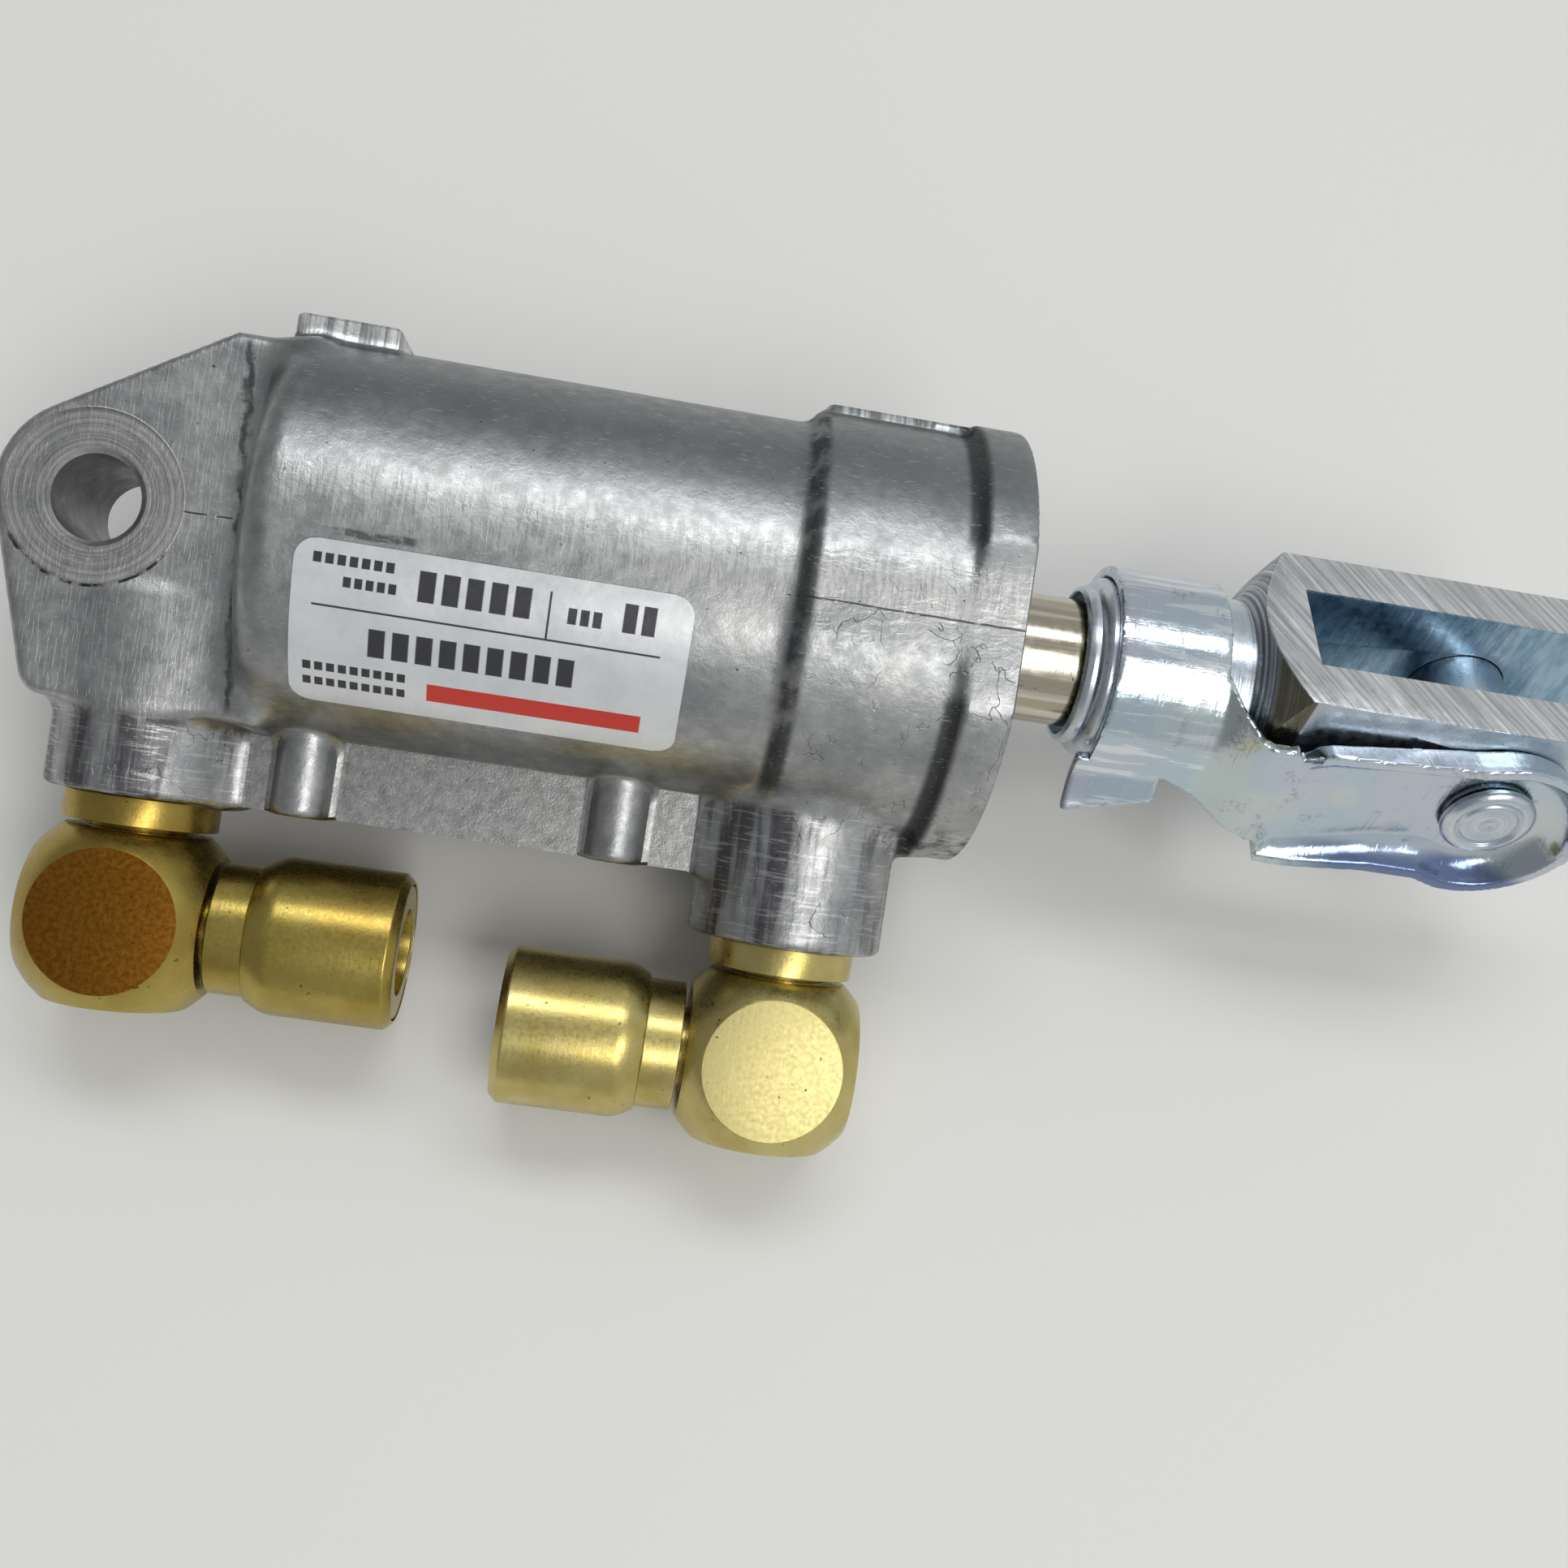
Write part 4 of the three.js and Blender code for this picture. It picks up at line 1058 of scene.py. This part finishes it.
def build_fork():
    (neck_start, _, _), (end, _, _) = part_box("fork_head")
    blank = [
        (neck_start, 0), (neck_start, 5.6), (neck_start + 0.25, 6.05), (neck_start + 0.7, 6.25),
        (neck_start + 1.05, 6.2), (neck_start + 1.15, 6.45), (neck_start + 1.35, 6.7),
        (neck_start + 1.8, NECK_R), (FORK_SQUARE_START, NECK_R),
        (FORK_SQUARE_START + 3.2, FORK_HALF * 1.45), (end - 2.4, FORK_HALF * 1.45),
        (end, FORK_HALF * 1.22), (end, 0),
    ]
    fork = make_lathe("fork_head_look", blank, False, 0, segments=128, turn=-FORK_TURN)
    low = (neck_start - 2, -FORK_HALF, -FORK_HALF)
    high = (end + 2, FORK_HALF, FORK_HALF)
    boolean(fork, make_box("square", low, high, -FORK_TURN), "INTERSECT")
    low = (SLOT_START, -SLOT_HALF, -FORK_HALF - 2)
    high = (end + 3, SLOT_HALF, FORK_HALF + 2)
    boolean(fork, make_box("slot", low, high, -FORK_TURN), "DIFFERENCE")
    thread = [
        (neck_start - 1, 0), (neck_start - 1, 6.0), (neck_start + 0.3, 5.6),
        (neck_start + 1.3, 5.6), (neck_start + 2.4, THREAD_R), (SLOT_START - 0.3, THREAD_R),
        (SLOT_START + 0.5, THREAD_R + 0.7), (SLOT_START + 0.5, 0),
    ]
    cutter = make_lathe("thread", thread, False, 0, segments=96, turn=-FORK_TURN)
    boolean(fork, cutter, "DIFFERENCE")
    past = FORK_HALF + 2
    hole = [(-past, 0), (-past, PIN_HOLE_R), (past, PIN_HOLE_R), (past, 0)]
    cutter = make_lathe("hole", hole, False, 1, (PIN_X, 0, 0), 96, -FORK_TURN)
    boolean(fork, cutter, "DIFFERENCE")
    bevel(fork, 0.16)
    finish_piece(fork, "fork_head", "rod_unit", MATERIALS["zinc"])


SHEET = 0.85
BAND_X = 78.55
BAND_HALF = 4.25
BAND_END = -2.7  # the band stops this far past the neck's middle
WRAP_MID = NECK_R + 0.15 + SHEET / 2
PLATE_MID = FORK_HALF + 0.15 + SHEET / 2
BEND_SPAN = (82.4, 86.8)  # the band's curve turns into the flat plate
PLATE_LIFT = 1.0  # the plate stands off the fork near the neck and touches it at the pin
LIP_X = 76.85
LIP_HALF = 3.55
LIP_TOP = 2.3  # the thumb lip leaves the band this far below the rod's axis
LIP_DROP = 4.3
LIP_FLARE = 1.5  # how far the lip's end curls out
RIM_START = 89.4
RIM_TOP = 11.1
RIM_FLARE = 0.45  # how far the tray's rim leans out for each mm of height
# the clip's flat plate seen along the pin
TRAY_OUTLINE = [
    (88.3, -6.3), (88.5, -7.4), (90.2, -7.3), (97.8, -6.2), (102.0, -6.2),
    *arc_points(PIN_X, 0, 7.0, -100, 100, 28),
    (101.5, 6.3), (90.4, 5.4), (88.9, 4.7), (87.4, 4.3), (85.8, 4.3), (84.2, 5.0), (82.4, 6.4),
    (80.2, 6.4), (80.2, -2.8),
]


def clip_field(p):
    """Pressed sheet: a band round the neck, a plate along the fork, a rim and a thumb lip."""
    x, y, z = p.T
    edge = 0.18
    round_part = np.abs(np.hypot(y, z) - WRAP_MID)
    straight_part = np.abs(np.abs(y) - WRAP_MID)
    band = np.where(z > 0, round_part, straight_part) - SHEET / 2
    band = smooth_max(band, BAND_END - z, edge)
    band = smooth_max(band, np.abs(x - BAND_X) - BAND_HALF, edge)

    t = np.clip((x - BEND_SPAN[0]) / (BEND_SPAN[1] - BEND_SPAN[0]), 0, 1)
    t = t * t * (3 - 2 * t)
    round_y = np.sqrt(np.maximum(WRAP_MID**2 - np.maximum(z, 0) ** 2, 4.0))
    lift = PLATE_LIFT * (t - np.clip((x - 90.5) / 10, 0, 1))
    middle = (1 - t) * round_y + t * PLATE_MID + np.maximum(lift, 0)
    outline = polygon_distance(x, z, TRAY_OUTLINE)
    inset = 0.9 * np.clip((x - 88.2) / 0.6, 0, 1)
    plate = smooth_max(np.abs(-y - middle) * 0.93 - SHEET / 2, outline + inset, edge)

    below_rim = RIM_TOP + y
    lean = (outline - 0.4 + RIM_FLARE * below_rim) / math.hypot(1, RIM_FLARE)
    rim = np.abs(lean + SHEET / 2) - SHEET / 2
    rim_top = RIM_TOP - 0.2 * np.clip((92 - x) / 3, 0, 1)
    rim = smooth_max(rim, -y - rim_top, edge)
    rim = smooth_max(rim, RIM_START + 0.3 * np.sign(z) - x, edge)

    down = np.clip(-LIP_TOP - z, 0, LIP_DROP)
    slope = 2 * LIP_FLARE * down / LIP_DROP**2
    lip_y = WRAP_MID + LIP_FLARE * (down / LIP_DROP) ** 2
    lip = np.abs(-y - lip_y) / np.sqrt(1 + slope**2) - SHEET / 2
    lip = smooth_max(lip, LIP_TOP - 0.3 + z, edge)
    lip = smooth_max(lip, np.abs(x - LIP_X) - LIP_HALF, 0.4)
    lip = smooth_max(lip, -z - 6.7 + 0.22 * (x - LIP_X + LIP_HALF), 0.3)

    underside = np.where(x > 86, middle - SHEET / 2 + y, -9.0)
    body = smooth_max(smooth_min(plate, rim, 1.3), underside, edge)
    body = smooth_min(body, band, 0.25)
    body = smooth_min(body, lip, 0.2)
    return smooth_max(body, 3.1 - np.hypot(x - PIN_X, z), edge)


def build_clip():
    low, high = (72.5, -11.8, -8.6), (113.4, 9.2, 9.0)
    clip = mesh_field("clip_spring_look", clip_field, low, high, 0.24, -FORK_TURN, relax=1)
    finish_piece(clip, "clip_spring", "clip_unit", MATERIALS["clip"], 50)
    turned_piece("clip_pin", "clip_unit", 1, MATERIALS["pin"], 0.12, turn=-FORK_TURN)


# ---- label


def build_label():
    """A thin curved sheet with round corners: two layers of points, joined along the border."""
    columns, rows = 200, 96
    half_sheet = 0.05
    length = LABEL["end"] - LABEL["start"]
    sweep = math.radians(LABEL["top_deg"] - LABEL["bottom_deg"])
    height = sweep * LABEL["r"]
    corner = LABEL["corner"]
    vertices = []
    for r in (LABEL["r"] - half_sheet, LABEL["r"] + half_sheet):
        for j in range(rows + 1):
            down = height * j / rows
            into = max(0.0, corner - min(down, height - down))
            inset = corner - math.sqrt(corner**2 - into**2)
            angle = math.radians(LABEL["top_deg"]) - sweep * j / rows
            for i in range(columns + 1):
                x = LABEL["start"] + inset + (length - 2 * inset) * i / columns
                vertices.append((x, r * math.sin(angle), r * math.cos(angle)))
    layer = (rows + 1) * (columns + 1)

    def at(j, i):
        return j * (columns + 1) + i

    faces = []
    for j in range(rows):
        for i in range(columns):
            lower = [at(j, i), at(j, i + 1), at(j + 1, i + 1), at(j + 1, i)]
            faces.append(lower)
            faces.append([v + layer for v in reversed(lower)])
    border = [at(0, i) for i in range(columns)]
    border += [at(j, columns) for j in range(rows)]
    border += [at(rows, i) for i in range(columns, 0, -1)]
    border += [at(j, 0) for j in range(rows, 0, -1)]
    for a, b in zip(border, border[1:] + border[:1]):
        faces.append([a, a + layer, b + layer, b])
    obj = make_object("label_look", vertices, faces)
    weld(obj)
    finish_piece(obj, "label", "cylinder", MATERIALS["label"])


# ---- camera, floor, light

CAMERA_AT = np.array([39.52, -14.22, 125.52])
CAMERA_LOOK = Vector((0.09678, 0.01204, -0.99523))
CAMERA_UP = Vector((-0.14784, 0.98901, -0.00241))
SENSOR = 36.0
LENS = SENSOR * 2011 / 1932
REST_ROLL = math.radians(15.6)  # the part lies rolled onto its elbows
FLOOR_REACH = 3.0  # metres from the middle to each side


def build_camera():
    data = bpy.data.cameras.new("camera")
    data.sensor_width = SENSOR
    data.lens = LENS
    data.clip_start = 0.01
    camera = bpy.data.objects.new("camera", data)
    bpy.context.scene.collection.objects.link(camera)
    right = CAMERA_LOOK.cross(CAMERA_UP).normalized()
    up = right.cross(CAMERA_LOOK).normalized()
    basis = Matrix((right, up, -CAMERA_LOOK.normalized())).transposed().to_4x4()
    camera.matrix_world = Matrix.Translation(Vector((CAMERA_AT + ORIGIN) * MM)) @ basis
    bpy.context.scene.camera = camera


def floor_frame():
    """The floor's normal and its lowest contact, for a part rolled onto its elbows."""
    normal = np.array([0, math.sin(REST_ROLL), math.cos(REST_ROLL)])
    lowest = min(
        float((np.array([v.co for v in obj.data.vertices]) @ normal).min())
        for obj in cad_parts.values()
    )
    return Vector(normal), lowest


def build_floor():
    normal, lowest = floor_frame()
    mesh = bpy.data.meshes.new("floor")
    r = FLOOR_REACH
    corners = [(-r, -r, 0), (r, -r, 0), (r, r, 0), (-r, r, 0)]
    mesh.from_pydata(corners, [], [(0, 1, 2, 3)])
    floor = bpy.data.objects.new("floor", mesh)
    bpy.context.scene.collection.objects.link(floor)
    tilt = normal.to_track_quat("Z", "Y").to_matrix().to_4x4()
    floor.matrix_world = Matrix.Translation(normal * lowest) @ tilt
    material = bpy.data.materials.new("floor")
    material.use_nodes = True
    shader = material.node_tree.nodes["Principled BSDF"]
    shader.inputs["Base Color"].default_value = (0.76, 0.755, 0.73, 1)
    shader.inputs["Roughness"].default_value = 0.7
    mesh.materials.append(material)


def area_light(name, at, target, size, power, colour):
    """A rectangular lamp at a place in part space (mm); its size is in metres."""
    data = bpy.data.lights.new(name, "AREA")
    data.shape = "RECTANGLE"
    data.size, data.size_y = size
    data.energy = power
    data.color = colour
    light = bpy.data.objects.new(name, data)
    bpy.context.scene.collection.objects.link(light)
    place = Vector((np.array(at) + ORIGIN) * MM)
    aim = Vector((np.array(target) + ORIGIN) * MM) - place
    turn = aim.to_track_quat("-Z", "Y").to_matrix().to_4x4()
    light.matrix_world = Matrix.Translation(place) @ turn


def build_light():
    """A room brighter towards +X, with two lamps overhead."""
    bpy.context.scene.view_settings.view_transform = "Standard"
    world = bpy.data.worlds.new("world")
    bpy.context.scene.world = world
    world.use_nodes = True
    tree = world.node_tree
    background = tree.nodes["Background"]
    background.inputs["Color"].default_value = (0.95, 0.975, 1.0, 1)
    direction = tree.nodes.new("ShaderNodeTexCoord")
    axes = tree.nodes.new("ShaderNodeSeparateXYZ")
    tree.links.new(direction.outputs["Generated"], axes.inputs[0])
    strength = tree.nodes.new("ShaderNodeMapRange")
    tree.links.new(axes.outputs["X"], strength.inputs["Value"])
    room = {"From Min": -0.5, "From Max": 0.5, "To Min": 0.29, "To Max": 0.64}
    for socket, value in room.items():
        strength.inputs[socket].default_value = value
    tree.links.new(strength.outputs[0], background.inputs["Strength"])
    centre = (40, 0, 0)
    area_light("ceiling", (215, -115, 520), centre, (0.36, 0.17), 0.95, (1.0, 0.985, 0.95))
    area_light("window", (60, 420, 480), centre, (0.50, 0.16), 1.2, (0.98, 0.99, 1.0))


# ---- inner pieces

# node, body, material, slot, edge round
INNER = (
    ("guide_bush", "cylinder", "aluminium", "turned_aluminium", 0.1),
    ("guide_bush_seal", "cylinder", "rubber", "rubber", 0.6),
    ("rod_seal", "cylinder", "rubber", "rubber", 0.15),
    ("rod_wiper", "cylinder", "rubber", "rubber", 0.15),
    ("front_bumper", "cylinder", "rubber", "rubber", 0.2),
    ("rear_bumper", "cylinder", "rubber", "rubber", 0.2),
    ("piston", "rod_unit", "aluminium", "turned_aluminium", 0.1),
    ("piston_seal_rear", "piston_seals", "rubber", "rubber", 0.15),
    ("piston_seal_front", "piston_seals", "rubber", "rubber", 0.15),
    ("piston_guide_band", "piston_seals", "band", "guide_band", 0.1),
    ("piston_rod", "rod_unit", "rod", "rod_steel", 0.15),
)
KEPT = {"circlip": "spring", "piston_nut": "nut"}  # CAD meshes that only get a material


def build_inner_pieces():
    for node, body, look, slot, edge in INNER:
        turned_piece(node, body, 0, MATERIALS[look], edge)
    for node, look in KEPT.items():
        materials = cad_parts[node].data.materials
        materials.clear()
        materials.append(MATERIALS[look])


# ---- the whole

build_camera()
build_casting()
build_label()
for elbow_name, elbow_port in PORTS.items():
    build_elbow(elbow_name, elbow_port)
build_fork()
build_clip()
build_inner_pieces()
build_floor()
build_light()
